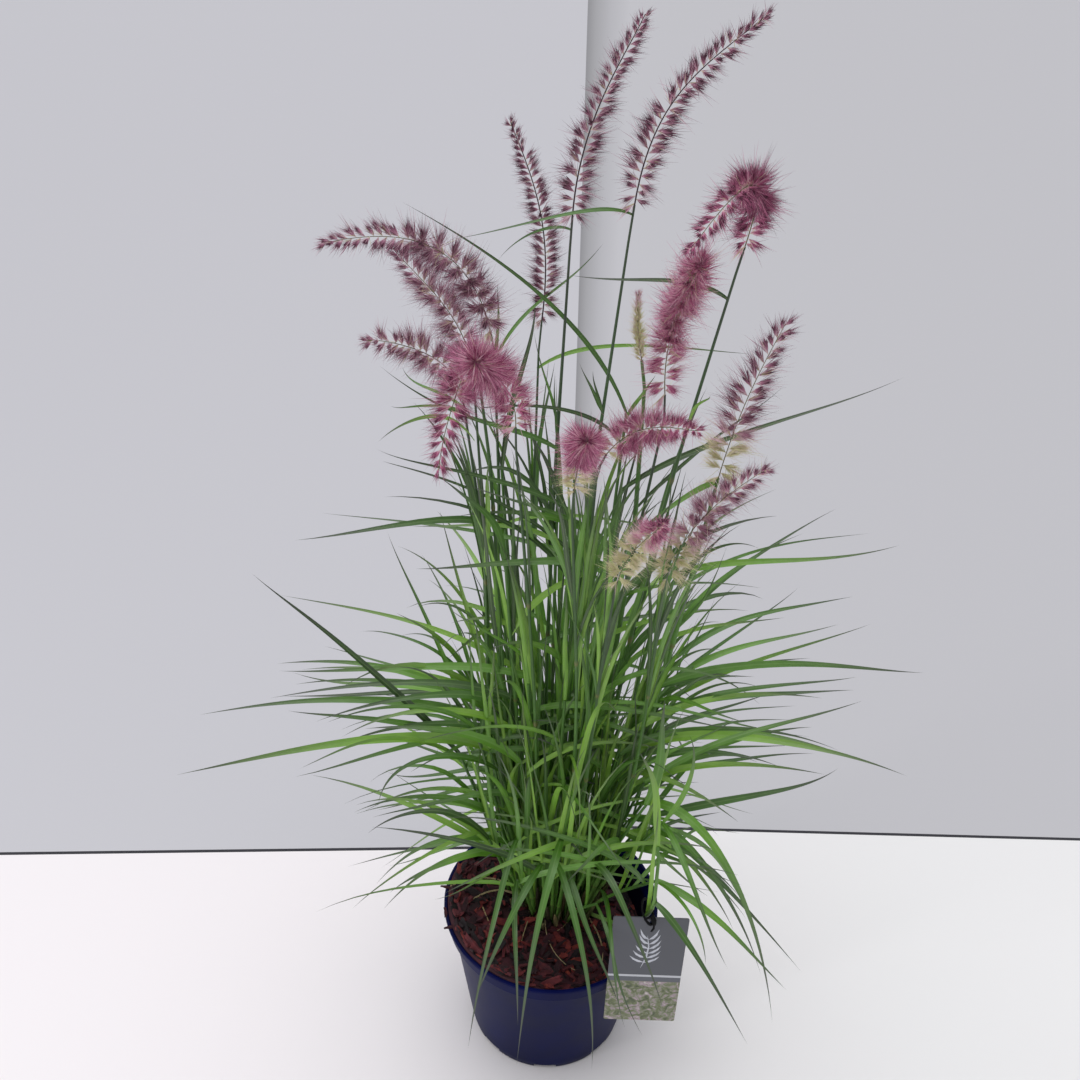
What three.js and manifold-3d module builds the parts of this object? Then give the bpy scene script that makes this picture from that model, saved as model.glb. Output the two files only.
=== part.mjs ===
// Fountain grass in a round nursery pot: a fan of stems and arching blades with sixteen flower heads,
// bark mulch over the compost, and a hang tag tied to an outer stem.
// Millimetres, +Z up. The origin is the centre of the pot's underside; the photo looks along +Y.
import * as THREE from "three";
import { mergeVertices } from "three/addons/utils/BufferGeometryUtils.js";
import Module from "manifold-3d";

// Pot
const POT_HEIGHT = 145;
const POT_BASE_RADIUS = 70;
const POT_WALL_TOP_RADIUS = 88;
const POT_RIM_RADIUS = 95;
const POT_BAND_HEIGHT = 16;
const POT_WALL = 1.4;
const RIM_LIP = 3.5;
const POT_SIDES = 48;
const DRAIN_HOLES = 8;
const DRAIN_WIDTH = 20;
const DRAIN_HEIGHT = 5;
const DRAIN_DEPTH = 9;

// Filling
const GAP = 0.35;
const SOIL_TOP = 98;
const MULCH_LOW = 106;
const MULCH_HIGH = 136;
const MULCH_HIGH_SIDE = THREE.MathUtils.degToRad(225);
const MULCH_STEEPNESS = 1.2;
const MULCH_RINGS = 4;
const MULCH_RIPPLE = 1.8;
const MULCH_FINE_RIPPLE = 1.4;
const CHIP_COUNT = 40;
const CHIP_SEED = 815;
const CHIP_TILT = 0.7;
const CHIP_LIFT = 1.2;
const CHIP_LENGTH = [12, 20];
const CHIP_WIDTH = [7, 11];
const CHIP_THICKNESS = [3, 4.5];
const CHIP_REACH = 72;
const CHIP_CLEARANCE = 9;

// Crown, where all stems start
const CROWN_CENTRE = [0, 30];
const CROWN_RADIUS = 44;
const CROWN_RIPPLE = 2;
const CROWN_BOTTOM = 84;
const CROWN_RISE = 3;
const CROWN_TOP = 146;
const CROWN_EDGE_SHARE = 0.9;
const CROWN_TOP_SHARE = 0.55;
const STEM_START = 118;
const STEM_SPREAD = 38;

// Flowering stems
const CULM_RADIUS = 1.4;
const CULM_SIDES = 4;
const CULM_STEPS = 6;
const CULM_BEND_HEIGHT = 0.45;
const CULM_NECK = 0.15;

// Leafy shoots: how far their feet spread, and where the stem bends between its foot and its top
const SHOOT_RADIUS = 1.5;
const FOOT_SHARE = 0.5;
const BEND_OUT = 0.35;
const BEND_UP = 0.5;
const BLADE_KEEL = 0.8;
const BLADE_EDGE_LIFT = 0.4;
const RISE_HALF_WIDTH = 1.8;

// Loose shoots, which fill the clump; each corner lies part of the way out to the tip
const LOOSE_SHOOTS = 30;
const LOOSE_SEED = 4711;
const LOOSE_HALF_WIDTH = 2.2;
const LOOSE_INNER_HEIGHT = 360;
const LOOSE_OUTER_HEIGHT = 225;
const LOOSE_UNEVENNESS = [-35, 35];
const LOOSE_INNER_REACH = 6;
const LOOSE_LEAN = 52;
const LOOSE_SWING = [-0.3, 0.3];
const LOOSE_BLADE_REACH = [70, 140];
const LOOSE_INNER_SHARE = 0.6;
const LOOSE_BLADE_RISE = [120, 200];
const LOOSE_CORNER_SHARE = 0.35;
const LOOSE_DROOP = [0.75, 1.05];
const SMALLEST_EDGE = 0.02;
const TURN = THREE.MathUtils.degToRad(137.5);

// Flower heads
const HEAD_SIDES = 5;
const HEAD_STEP = 8.6;
const HEAD_CORE_RADIUS = 2.6;
const HEAD_RADIUS = 10;
const HEAD_LEAN = 6.5;
const HEAD_TWIST = 0.45;
const HEAD_TAPER = 0.45;

// Tag
const TAG_WIDTH = 60;
const TAG_HEIGHT = 131;
const TAG_THICKNESS = 0.8;
const TAG_CORNER = 2;
const TAG_CENTRE = new THREE.Vector3(77, -84, 162.5);
const TAG_HOLE_RADIUS = 2.6;
const TIE_CENTRE = new THREE.Vector3(74.5, -77, 226);
const TIE_LONG_RADIUS = 11.5;
const TIE_SHORT_RADIUS = 7;
const TIE_CORD_RADIUS = 0.9;

// Flower heads as cubic curves: the stem's top, two control points and the tip.
const HEADS = {
  head_back_centre: [[-8, 20, 744], [-6, 22, 801], [18, 32, 832], [29, 40, 855]],
  head_tallest_right: [[28, 0, 757], [34, 2, 818], [58, -8, 834], [90, -12, 862]],
  head_back_left: [[-25, 60, 661], [-19, 63, 723], [-32, 49, 756], [-48, 44, 793]],
  head_left_arch: [[-58, 20, 668], [-72, 1, 740], [-115, -15, 742], [-152, -30, 737]],
  head_left_back_slant: [[-76, 60, 638], [-86, 61, 672], [-117, 73, 689], [-127, 72, 704]],
  head_left_short: [[-81, -20, 655], [-91, -24, 673], [-122, -47, 687], [-127, -50, 686]],
  head_left_front: [[-38, -60, 638], [-37, -74, 674], [-55, -111, 699], [-55, -155, 719]],
  head_left_nodding: [[-65, -60, 685], [-70, -116, 679], [-76, -118, 664], [-78, -125, 642]],
  head_right_nodding: [[89, -40, 746], [92, -81, 810], [66, -129, 803], [44, -150, 776]],
  head_right_magenta: [[51, -50, 658], [46, -57, 693], [50, -80, 727], [54, -120, 761]],
  head_young_spike: [[41, 10, 655], [37, 9, 672], [35, 7, 688], [35, 6, 701]],
  head_right_slant: [[97, -10, 581], [105, -8, 634], [119, -2, 665], [128, 0, 687]],
  head_front_centre: [[-2, -90, 611], [0, -112, 660], [1, -150, 672], [0, -170, 686]],
  head_front_right: [[17, -70, 627], [33, -90, 665], [54, -124, 670], [59, -140, 679]],
  head_low_right: [[63, -60, 532], [69, -69, 582], [93, -78, 609], [110, -86, 629]],
  head_low_front: [[29, -80, 542], [32, -103, 585], [43, -137, 612], [43, -165, 638]],
};
const YOUNG_HEAD = "head_young_spike";
const YOUNG_SCALE = 0.45;

// Flowering stems, in the order of the heads: where each leaves the crown, and where it bends (x, y).
const CULMS = [
  [[-6, 37], [-17, 32]],
  [[7, 28], [0, 20]],
  [[-13, 56], [-23, 57]],
  [[-28, 35], [-66, 30]],
  [[-31, 50], [-80, 53]],
  [[-35, 23], [-75, 10]],
  [[-20, 10], [-4, -10]],
  [[-29, 13], [-50, -8]],
  [[33, 33], [33, 11]],
  [[22, 13], [0, -6]],
  [[18, 42], [38, 32]],
  [[37, 22], [75, 12]],
  [[-2, 2], [30, -26]],
  [[7, 7], [45, -16]],
  [[31, 10], [78, -10]],
  [[17, 0], [22, -24]],
];

// Leafy shoots seen singly: half width, then where the blade leaves its stem, its arc's corner and its tip.
const SHOOTS = {
  left_high: [1.8, [30, 0, 490], [-75, 20, 520], [-185, 45, 510]],
  left_long_rise: [2.6, [-80, -5, 320], [-165, -25, 440], [-215, -45, 515]],
  left_upper_arc: [2.2, [-15, 10, 375], [-110, 30, 430], [-225, 50, 430]],
  left_level: [2.3, [-25, 0, 395], [-120, 0, 400], [-220, 5, 390]],
  left_slant: [2.0, [-65, 40, 335], [-150, 70, 315], [-235, 95, 315]],
  left_back_level: [2.0, [-50, 40, 330], [-145, 80, 310], [-255, 115, 270]],
  left_farthest: [2.6, [-50, 5, 340], [-165, -5, 385], [-280, -15, 360]],
  left_low_farthest: [3.6, [-55, -10, 330], [-170, -50, 375], [-280, -75, 355]],
  left_front_arc: [1.8, [-65, -15, 355], [-120, -50, 420], [-165, -80, 415]],
  left_back_upright: [2.0, [-65, 35, 305], [-115, 65, 395], [-145, 95, 465]],
  left_back_short: [1.5, [-70, 50, 340], [-90, 80, 410], [-120, 110, 435]],
  left_upright: [2.0, [-55, 15, 355], [-75, 20, 450], [-95, 30, 525]],
  left_hook: [2.3, [-45, -5, 300], [-125, -60, 385], [-135, -70, 325]],
  left_low: [2.0, [-35, 10, 270], [-95, 25, 245], [-160, 40, 205]],
  left_low_wide: [2.6, [-20, 0, 265], [-80, -20, 295], [-150, -25, 265]],
  left_low_front: [2.6, [-55, -20, 240], [-100, -55, 335], [-145, -70, 295]],
  left_low_back: [2.6, [-5, 25, 195], [-90, 35, 180], [-190, 45, 125]],
  left_drooping: [1.8, [-45, -5, 235], [-110, -40, 250], [-165, -60, 195]],
  left_drooping_front: [3.0, [-45, -25, 230], [-90, -50, 255], [-130, -75, 235]],
  left_front_cross: [2.4, [25, -30, 255], [-40, -70, 270], [-85, -95, 260]],
  right_front_long: [2.4, [70, -10, 300], [150, -40, 390], [210, -60, 435]],
  right_level_long: [2.6, [60, 0, 325], [165, -30, 385], [260, -50, 355]],
  right_low_back: [2.0, [90, 35, 260], [155, 60, 270], [235, 85, 250]],
  right_low_curl: [2.6, [80, 15, 235], [185, 25, 240], [240, 35, 280]],
  right_back_short: [1.8, [65, 30, 300], [135, 80, 305], [220, 115, 280]],
  right_front_rise: [1.8, [80, 0, 365], [160, -40, 430], [200, -65, 460]],
  right_farthest: [3.0, [70, 0, 390], [185, -10, 430], [265, -20, 430]],
  right_rise: [2.0, [70, 15, 350], [160, 20, 410], [235, 25, 440]],
  right_back_low: [2.4, [85, 25, 375], [155, 45, 405], [225, 65, 410]],
  right_back_level: [2.4, [80, 35, 380], [165, 70, 425], [245, 105, 410]],
  right_high_back: [1.8, [80, 20, 420], [135, 45, 490], [205, 70, 515]],
  right_high_front: [2.2, [70, -5, 495], [150, -25, 520], [215, -45, 555]],
  right_fall: [3.0, [60, 0, 260], [140, -60, 345], [190, -85, 100]],
  right_fall_back: [2.4, [85, 5, 235], [125, -20, 225], [220, -45, 115]],
  right_fall_front: [2.8, [85, -45, 225], [135, -80, 220], [190, -100, 165]],
  right_fall_near: [2.3, [85, -35, 280], [100, -95, 275], [135, -115, 210]],
  right_top_reach: [2.0, [35, 15, 555], [120, 30, 590], [225, 45, 635]],
  front_left_fall: [2.2, [-30, -40, 265], [-50, -120, 255], [-65, -125, 110]],
  front_left_second: [2.6, [-10, -45, 240], [-40, -110, 240], [-60, -115, 160]],
  front_short_fall: [2.2, [-30, -50, 225], [-30, -110, 220], [-25, -120, 135]],
  front_wide_fall: [3.4, [5, -40, 265], [-15, -130, 290], [-25, -140, 115]],
  front_right_fall: [3.0, [0, -45, 245], [30, -130, 255], [35, -140, 110]],
  front_right_short: [2.2, [10, -45, 235], [30, -100, 215], [55, -120, 165]],
  front_tag_short: [2.6, [30, -50, 250], [55, -100, 275], [90, -120, 160]],
  front_tag_side: [1.5, [35, -60, 212], [45, -115, 205], [75, -125, 135]],
  top_left_diagonal: [1.5, [35, 25, 610], [-35, 30, 710], [-115, 35, 745]],
  top_wide_upright: [2.0, [-50, 30, 560], [-30, 40, 655], [-30, 50, 680]],
  top_left_short: [1.8, [-10, 15, 585], [-65, 10, 595], [-130, 10, 645]],
  mid_left_short: [2.0, [0, 0, 545], [-75, -25, 580], [-125, -50, 615]],
  mid_cross: [1.7, [30, -20, 525], [-15, -50, 575], [-70, -80, 610]],
  mid_left_bend: [2.2, [-45, -10, 510], [-55, -40, 575], [-85, -65, 605]],
  back_left_fall: [2.4, [-45, 70, 270], [-90, 130, 300], [-120, 165, 150]],
  back_fall: [2.4, [5, 80, 280], [10, 140, 300], [5, 175, 130]],
  back_right_fall: [2.4, [50, 70, 275], [105, 115, 300], [135, 150, 160]],
  back_left_rise: [2.4, [-35, 70, 360], [-80, 120, 440], [-115, 190, 430]],
  back_rise: [2.4, [0, 75, 380], [15, 130, 460], [20, 205, 440]],
  back_right_rise: [2.4, [40, 70, 370], [90, 110, 450], [140, 180, 420]],
};

// Steep shoots in the middle of the clump.
const UPRIGHTS = [
  [[-42, 14, 420], [-52, 8, 500], [-58, -8, 590]],
  [[-34, 38, 430], [-44, 44, 520], [-62, 52, 610]],
  [[-20, 10, 440], [-26, 2, 540], [-42, -14, 600]],
  [[-4, 42, 430], [-6, 50, 530], [-14, 64, 620]],
  [[6, 8, 450], [8, 0, 540], [20, -14, 600]],
  [[24, 14, 440], [30, 10, 530], [38, 2, 610]],
  [[28, 42, 420], [36, 48, 520], [54, 60, 600]],
  [[44, 10, 410], [56, 4, 500], [72, -6, 560]],
  [[54, 28, 420], [66, 30, 500], [80, 36, 575]],
  [[-26, -12, 400], [-32, -26, 480], [-44, -46, 540]],
  [[2, -18, 390], [2, -32, 470], [-4, -54, 520]],
  [[4, 62, 400], [6, 72, 490], [2, 94, 560]],
];

// Leaves that grow on a stem above: the stem, how far up it they start, half width, corner and tip.
const LEAVES = {
  left_front_reach: ["left_long_rise", 0.97, 1.6, [-140, -75, 405], [-185, -90, 380]],
  left_thin_tip: ["left_long_rise", 0.9, 1.3, [-130, 35, 315], [-145, 50, 300]],
  left_inner_short: ["left_back_short", 0.98, 2.0, [-95, -5, 445], [-130, 25, 435]],
  left_mid_short: ["left_back_short", 0.97, 1.5, [-120, 55, 405], [-170, 85, 370]],
  left_thin_cross: ["head_back_centre", 0.3, 1.5, [-60, -70, 490], [-80, -75, 515]],
  left_dip: ["head_left_short", 0.24, 1.8, [-105, 55, 215], [-155, 75, 220]],
  left_low_slant: ["left_back_level", 0.5, 1.5, [-95, 45, 190], [-165, 70, 95]],
  left_mulch_reach: ["left_low", 0.35, 1.8, [-50, -70, 245], [-95, -80, 235]],
  front_tag_edge: ["right_fall_near", 0.26, 1.8, [35, -130, 260], [60, -125, 145]],
  front_diagonal: ["head_back_centre", 0.17, 1.3, [20, -100, 350], [60, -100, 285]],
  right_fall_thin: ["right_fall_near", 0.97, 1.8, [155, 5, 185], [170, -20, 165]],
  right_curl: ["right_fall_front", 0.97, 1.3, [115, -115, 255], [120, -105, 200]],
  right_inner_curve: ["right_fall_near", 0.97, 2.2, [115, -35, 335], [95, -40, 380]],
  right_mid_short: ["head_right_slant", 0.35, 1.8, [130, 45, 335], [180, 60, 340]],
  right_diagonal: ["head_right_slant", 0.45, 1.5, [150, 85, 380], [200, 110, 415]],
  right_thin_down: ["head_right_slant", 0.44, 1.4, [105, -50, 415], [130, -65, 415]],
  right_high_thin: ["head_right_slant", 0.61, 1.3, [120, 30, 490], [175, 40, 510]],
  right_high: ["right_high_front", 0.93, 1.4, [135, 70, 480], [240, 85, 485]],
  right_top_short: ["right_high_front", 0.95, 1.3, [100, 60, 510], [160, 80, 525]],
  right_high_droop: ["right_high_front", 0.94, 1.4, [100, -35, 560], [120, -65, 560]],
  right_flag_fall: ["head_right_slant", 0.98, 1.8, [65, -35, 575], [25, -75, 560]],
  right_top_thin: ["head_young_spike", 0.68, 1.3, [100, 45, 575], [150, 70, 615]],
  top_left_arc: ["head_tallest_right", 0.98, 1.3, [-25, -15, 750], [-80, -25, 740]],
  top_right_arc: ["head_right_nodding", 0.88, 1.5, [40, -25, 720], [-10, -5, 715]],
  top_back_arc: ["head_back_left", 0.88, 1.4, [50, 95, 635], [135, 115, 620]],
  mid_left_droop: ["head_left_short", 0.82, 1.5, [-95, -60, 655], [-120, -70, 630]],
  mid_level: ["top_left_diagonal", 0.95, 1.4, [-25, -35, 645], [-70, -40, 640]],
  centre_leaf: ["head_tallest_right", 0.68, 1.3, [10, -5, 635], [0, -10, 660]],
  tag_blade: ["tag_shoot", 0.7, 2.5, [107, -105, 225], [157, -132, 140]],
};

// The shoot that carries the tag: its stem leans out over the rim and then stands up beside the card.
const TAG_SHOOT = {
  stem: [[33, 8, STEM_START], [90, -104, 200], [76, -77, 300]],
  halfWidth: 2.8,
  blade: [[70, -74, 370], [55, -70, 390]],
};

// Seeded draw between 0 and 1, the same on every machine.
function seededDraw(seed) {
  let state = seed;
  return () => {
    state = (state * 16807) % 2147483647;
    return state / 2147483647;
  };
}

const point = (place) => new THREE.Vector3(...place);
const UP = new THREE.Vector3(0, 0, 1);

// A closed solid through rings of points that turn anticlockwise round the way of travel.
// Each cell between two rings is flat, or raised to an apex where a raise function is given.
function loft(rings, tip, raise) {
  const sides = rings[0].length;
  const points = rings.flat();
  const faces = [];
  const at = (ring, side) => ring * sides + (side % sides);
  for (let ring = 0; ring + 1 < rings.length; ring++) {
    for (let side = 0; side < sides; side++) {
      const cell = [at(ring, side), at(ring, side + 1), at(ring + 1, side + 1), at(ring + 1, side)];
      if (raise) {
        const apex = points.push(raise(ring, cell.map((i) => points[i]))) - 1;
        cell.forEach((corner, i) => faces.push(corner, cell[(i + 1) % 4], apex));
      } else {
        faces.push(cell[0], cell[1], cell[2], cell[0], cell[2], cell[3]);
      }
    }
  }
  for (let side = 1; side + 1 < sides; side++) faces.push(at(0, 0), at(0, side + 1), at(0, side));
  const last = rings.length - 1;
  const end = points.push(tip) - 1;
  for (let side = 0; side < sides; side++) faces.push(at(last, side), at(last, side + 1), end);
  const geometry = new THREE.BufferGeometry().setFromPoints(points);
  geometry.setIndex(faces);
  return geometry;
}

// Boolean work: solids in, one geometry out.
const wasm = await Module();
wasm.setup();

function solid(geometry) {
  const plain = geometry.clone();
  plain.deleteAttribute("normal");
  plain.deleteAttribute("uv");
  const merged = mergeVertices(plain, 1e-4);
  return new wasm.Manifold(
    new wasm.Mesh({
      numProp: 3,
      vertProperties: merged.attributes.position.array,
      triVerts: new Uint32Array(merged.index.array),
    }),
  );
}

function geometryOf(made) {
  const mesh = made.getMesh();
  const geometry = new THREE.BufferGeometry();
  geometry.setAttribute("position", new THREE.BufferAttribute(mesh.vertProperties, 3));
  geometry.setIndex(new THREE.BufferAttribute(mesh.triVerts, 1));
  return geometry;
}

const group = new THREE.Group();
group.name = "potted_fountain_grass";

function addMesh(name, geometry, material) {
  const flat = geometry.index ? geometry.toNonIndexed() : geometry;
  flat.computeVertexNormals();
  const mesh = new THREE.Mesh(flat, material);
  mesh.name = name;
  group.add(mesh);
  return mesh;
}

const finish = (color, roughness) => new THREE.MeshStandardMaterial({ color, roughness, metalness: 0 });
const MATERIALS = {
  pot: finish(0x26284a, 0.4),
  soil: finish(0x2b2018, 0.95),
  bark: finish(0x6b2f26, 0.9),
  grass: finish(0x4f8a34, 0.6),
  head: finish(0x9a4f6e, 0.8),
  youngHead: finish(0xb7c07a, 0.8),
  tag: finish(0x55575f, 0.45),
  tie: finish(0x18181a, 0.6),
};

// A profile of radius and height turned round the vertical axis.
function turned(profile) {
  const points = profile.map(([radius, height]) => new THREE.Vector2(radius, height));
  return new THREE.LatheGeometry(points, POT_SIDES).rotateX(Math.PI / 2);
}

// Pot: thin tapered wall, a turned-out rim band and drainage holes through the bottom edge.
const wallSlope = (POT_WALL_TOP_RADIUS - POT_BASE_RADIUS) / (POT_HEIGHT - POT_BAND_HEIGHT);
const innerRadius = (height) => POT_BASE_RADIUS - POT_WALL + wallSlope * height;

function potGeometry() {
  const bandBottom = POT_HEIGHT - POT_BAND_HEIGHT;
  const shell = turned([
    [0, 0],
    [POT_BASE_RADIUS - 2, 0],
    [POT_BASE_RADIUS, 2],
    [POT_WALL_TOP_RADIUS, bandBottom],
    [POT_RIM_RADIUS - 3, bandBottom],
    [POT_RIM_RADIUS - 1.2, POT_HEIGHT - RIM_LIP],
    [POT_RIM_RADIUS, POT_HEIGHT - RIM_LIP],
    [POT_RIM_RADIUS, POT_HEIGHT],
    [POT_RIM_RADIUS - 3, POT_HEIGHT],
    [innerRadius(bandBottom) + 1.6, bandBottom + RIM_LIP],
    [innerRadius(bandBottom), bandBottom],
    [innerRadius(POT_WALL), POT_WALL],
    [0, POT_WALL],
  ]);
  const cutters = [];
  for (let i = 0; i < DRAIN_HOLES; i++) {
    const hole = new THREE.BoxGeometry(DRAIN_WIDTH, DRAIN_DEPTH * 2, DRAIN_HEIGHT * 2);
    hole.translate(0, -POT_BASE_RADIUS, 0);
    hole.rotateZ((i * 2 * Math.PI) / DRAIN_HOLES);
    cutters.push(solid(hole));
  }
  return geometryOf(solid(shell).subtract(wasm.Manifold.union(cutters)));
}

// Heap of the mulch: highest at the front left, lowest at the back right.
function mulchTop(x, y) {
  const towardsHigh = (x * Math.cos(MULCH_HIGH_SIDE) + y * Math.sin(MULCH_HIGH_SIDE)) / POT_RIM_RADIUS;
  const share = 0.5 + 0.5 * THREE.MathUtils.clamp(towardsHigh * MULCH_STEEPNESS, -1, 1);
  return THREE.MathUtils.lerp(MULCH_LOW, MULCH_HIGH, share);
}

// Outline of the crown, a slightly lobed round.
const crownRadius = (angle) => CROWN_RADIUS + CROWN_RIPPLE * Math.sin(3 * angle + 1) * Math.cos(2 * angle);

// Moves each vertex of a turned shape; move gets its angle, radius and height and returns the last two.
function reshape(geometry, move) {
  const position = geometry.attributes.position;
  for (let i = 0; i < position.count; i++) {
    const x = position.getX(i);
    const y = position.getY(i);
    const angle = Math.atan2(y, x);
    const [radius, height] = move(angle, Math.hypot(x, y), position.getZ(i));
    position.setXYZ(i, radius * Math.cos(angle), radius * Math.sin(angle), height);
  }
  return geometry;
}

// Cuts the crown's place out of the soil and the mulch.
function crownPocket() {
  const high = MULCH_HIGH + 20;
  const plug = turned([
    [0, CROWN_BOTTOM - GAP],
    [CROWN_RADIUS, CROWN_BOTTOM - GAP],
    [CROWN_RADIUS, high],
    [0, high],
  ]);
  reshape(plug, (angle, radius, height) => [radius > 1 ? crownRadius(angle) + GAP : radius, height]);
  return solid(plug.translate(...CROWN_CENTRE, 0));
}

function soilGeometry() {
  const block = turned([
    [0, POT_WALL + GAP],
    [innerRadius(POT_WALL) - GAP, POT_WALL + GAP],
    [innerRadius(SOIL_TOP) - GAP, SOIL_TOP],
    [0, SOIL_TOP],
  ]);
  return geometryOf(solid(block).subtract(crownPocket()));
}

// Bark mulch: a lumpy bed from the crown to the wall, with chips half sunk in it.
function mulchGeometry() {
  const bottom = SOIL_TOP + GAP;
  const outer = innerRadius(bottom) - GAP;
  const profile = [[0, bottom], [outer, bottom]];
  for (let ring = 0; ring <= MULCH_RINGS; ring++) {
    profile.push([outer * (1 - ring / MULCH_RINGS), bottom + 10]);
  }
  const bed = reshape(turned(profile), (angle, radius, height) => {
    if (height < bottom + 1) return [radius, height];
    const coarse = MULCH_RIPPLE * Math.sin(7 * angle + radius);
    const fine = MULCH_FINE_RIPPLE * Math.cos(13 * angle - radius / 3);
    const ripple = (coarse + fine) * Math.min(1, radius / CROWN_RADIUS);
    const top = mulchTop(radius * Math.cos(angle), radius * Math.sin(angle)) + ripple;
    return [radius > outer - 0.01 ? innerRadius(top) - GAP : radius, top];
  });
  const draw = seededDraw(CHIP_SEED);
  const between = ([low, high]) => THREE.MathUtils.lerp(low, high, draw());
  const parts = [solid(bed)];
  for (let i = 0; i < CHIP_COUNT; i++) {
    const angle = i * TURN;
    const reach = CHIP_REACH * Math.sqrt((i + 0.5) / CHIP_COUNT);
    const x = reach * Math.cos(angle);
    const y = reach * Math.sin(angle);
    const size = [CHIP_LENGTH, CHIP_WIDTH, CHIP_THICKNESS].map(between);
    const turns = [(draw() - 0.5) * CHIP_TILT, (draw() - 0.5) * CHIP_TILT, draw() * Math.PI];
    if (Math.hypot(x - CROWN_CENTRE[0], y - CROWN_CENTRE[1]) < CROWN_RADIUS + CHIP_CLEARANCE) continue;
    const chip = new THREE.BoxGeometry(...size);
    chip.rotateX(turns[0]).rotateY(turns[1]).rotateZ(turns[2]);
    parts.push(solid(chip.translate(x, y, mulchTop(x, y) + CHIP_LIFT)));
  }
  const whole = wasm.Manifold.union(parts).subtract(crownPocket());
  const largest = whole.decompose().sort((a, b) => b.volume() - a.volume())[0];
  return geometryOf(largest.simplify(SMALLEST_EDGE));
}

// Crown: the dense foot of the clump, sunk through the mulch into the soil.
function crownGeometry() {
  const mound = turned([
    [0, CROWN_BOTTOM],
    [CROWN_RADIUS, CROWN_BOTTOM],
    [CROWN_RADIUS, SOIL_TOP],
    [CROWN_RADIUS * CROWN_TOP_SHARE, CROWN_TOP],
    [0, CROWN_TOP],
  ]);
  const [centreX, centreY] = CROWN_CENTRE;
  reshape(mound, (angle, radius, height) => {
    if (radius < CROWN_RADIUS * CROWN_EDGE_SHARE) return [radius, height];
    const reach = crownRadius(angle);
    if (height < SOIL_TOP) return [reach, height];
    const top = mulchTop(centreX + reach * Math.cos(angle), centreY + reach * Math.sin(angle));
    return [reach, top + CROWN_RISE];
  });
  return mound.translate(centreX, centreY, 0);
}

// Sideways direction of a blade: level, and square to its heading.
function sideOf(from, to) {
  const heading = new THREE.Vector3(to.x - from.x, to.y - from.y, 0);
  if (heading.length() < 1) heading.set(1, 0, 0);
  return heading.cross(UP).normalize();
}

// Three-point ring across a stem or blade: right edge, keel, left edge.
function bladeRing(centre, tangent, side, halfWidth, keel, lift) {
  const normal = side.clone().cross(tangent).normalize();
  const across = tangent.clone().cross(normal).normalize();
  const rise = normal.clone().multiplyScalar(lift);
  return [
    centre.clone().addScaledVector(across, halfWidth).add(rise),
    centre.clone().addScaledVector(normal, -keel),
    centre.clone().addScaledVector(across, -halfWidth).add(rise),
  ];
}

// Shares of the blade's length where it has a ring, with its width there as a share of the widest.
const BLADE_RINGS = [
  [0.08, 0.7],
  [0.3, 1],
  [0.55, 0.9],
  [0.8, 0.5],
];

function bladeRings(arc, side, halfWidth) {
  return BLADE_RINGS.map(([share, width]) => {
    const keel = THREE.MathUtils.lerp(0.5, BLADE_KEEL, width);
    const [centre, tangent] = [arc.getPoint(share), arc.getTangent(share)];
    return bladeRing(centre, tangent, side, halfWidth * width, keel, BLADE_EDGE_LIFT);
  });
}

const stemRing = (curve, share, side, radius) =>
  bladeRing(curve.getPoint(share), curve.getTangent(share), side, radius * 0.87, radius, radius * 0.5);

// Shares of a stem's length where it has a ring.
const SHOOT_RINGS = [0, 0.5, 0.97];
const CULM_RINGS = Array.from({ length: CULM_STEPS }, (_, step) => step / (CULM_STEPS - 1));

// Leafy shoot: a stem out of the crown that opens into one arching blade.
function shoot(stem, corner, tip, halfWidth) {
  const blade = new THREE.QuadraticBezierCurve3(stem.v2, corner, tip);
  const side = sideOf(stem.v2, tip);
  const rings = SHOOT_RINGS.map((share) => stemRing(stem, share, side, SHOOT_RADIUS));
  return loft([...rings, ...bladeRings(blade, side, halfWidth)], tip);
}

// Leaf: one arching blade from a place on a stem.
function leaf(collar, corner, tip, halfWidth) {
  const blade = new THREE.QuadraticBezierCurve3(collar, corner, tip);
  const side = sideOf(collar, tip);
  return loft([stemRing(blade, 0, side, CULM_RADIUS), ...bladeRings(blade, side, halfWidth)], tip);
}

// Stem of a leafy shoot: it rises steeply from its foot in the crown and then leans out to the blade.
function stemTo(collar, foot) {
  const fromCentre = new THREE.Vector2(collar.x - CROWN_CENTRE[0], collar.y - CROWN_CENTRE[1]);
  fromCentre.setLength(Math.min(STEM_SPREAD, fromCentre.length() * FOOT_SHARE));
  const start = foot ?? new THREE.Vector3(...fromCentre, STEM_START).add(point([...CROWN_CENTRE, 0]));
  const bend = new THREE.Vector3(
    THREE.MathUtils.lerp(start.x, collar.x, BEND_OUT),
    THREE.MathUtils.lerp(start.y, collar.y, BEND_OUT),
    THREE.MathUtils.lerp(start.z, collar.z, BEND_UP),
  );
  return new THREE.QuadraticBezierCurve3(start, bend, collar);
}

// Path of a flowering stem, from its foot in the crown to its head.
function culmPath([foot, bend], [top, aim]) {
  const rise = top.z - STEM_START;
  const neck = aim.clone().sub(top).setLength(rise * CULM_NECK);
  return new THREE.CubicBezierCurve3(
    point([...foot, STEM_START]),
    point([...bend, STEM_START + rise * CULM_BEND_HEIGHT]),
    top.clone().sub(neck),
    top,
  );
}

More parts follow.
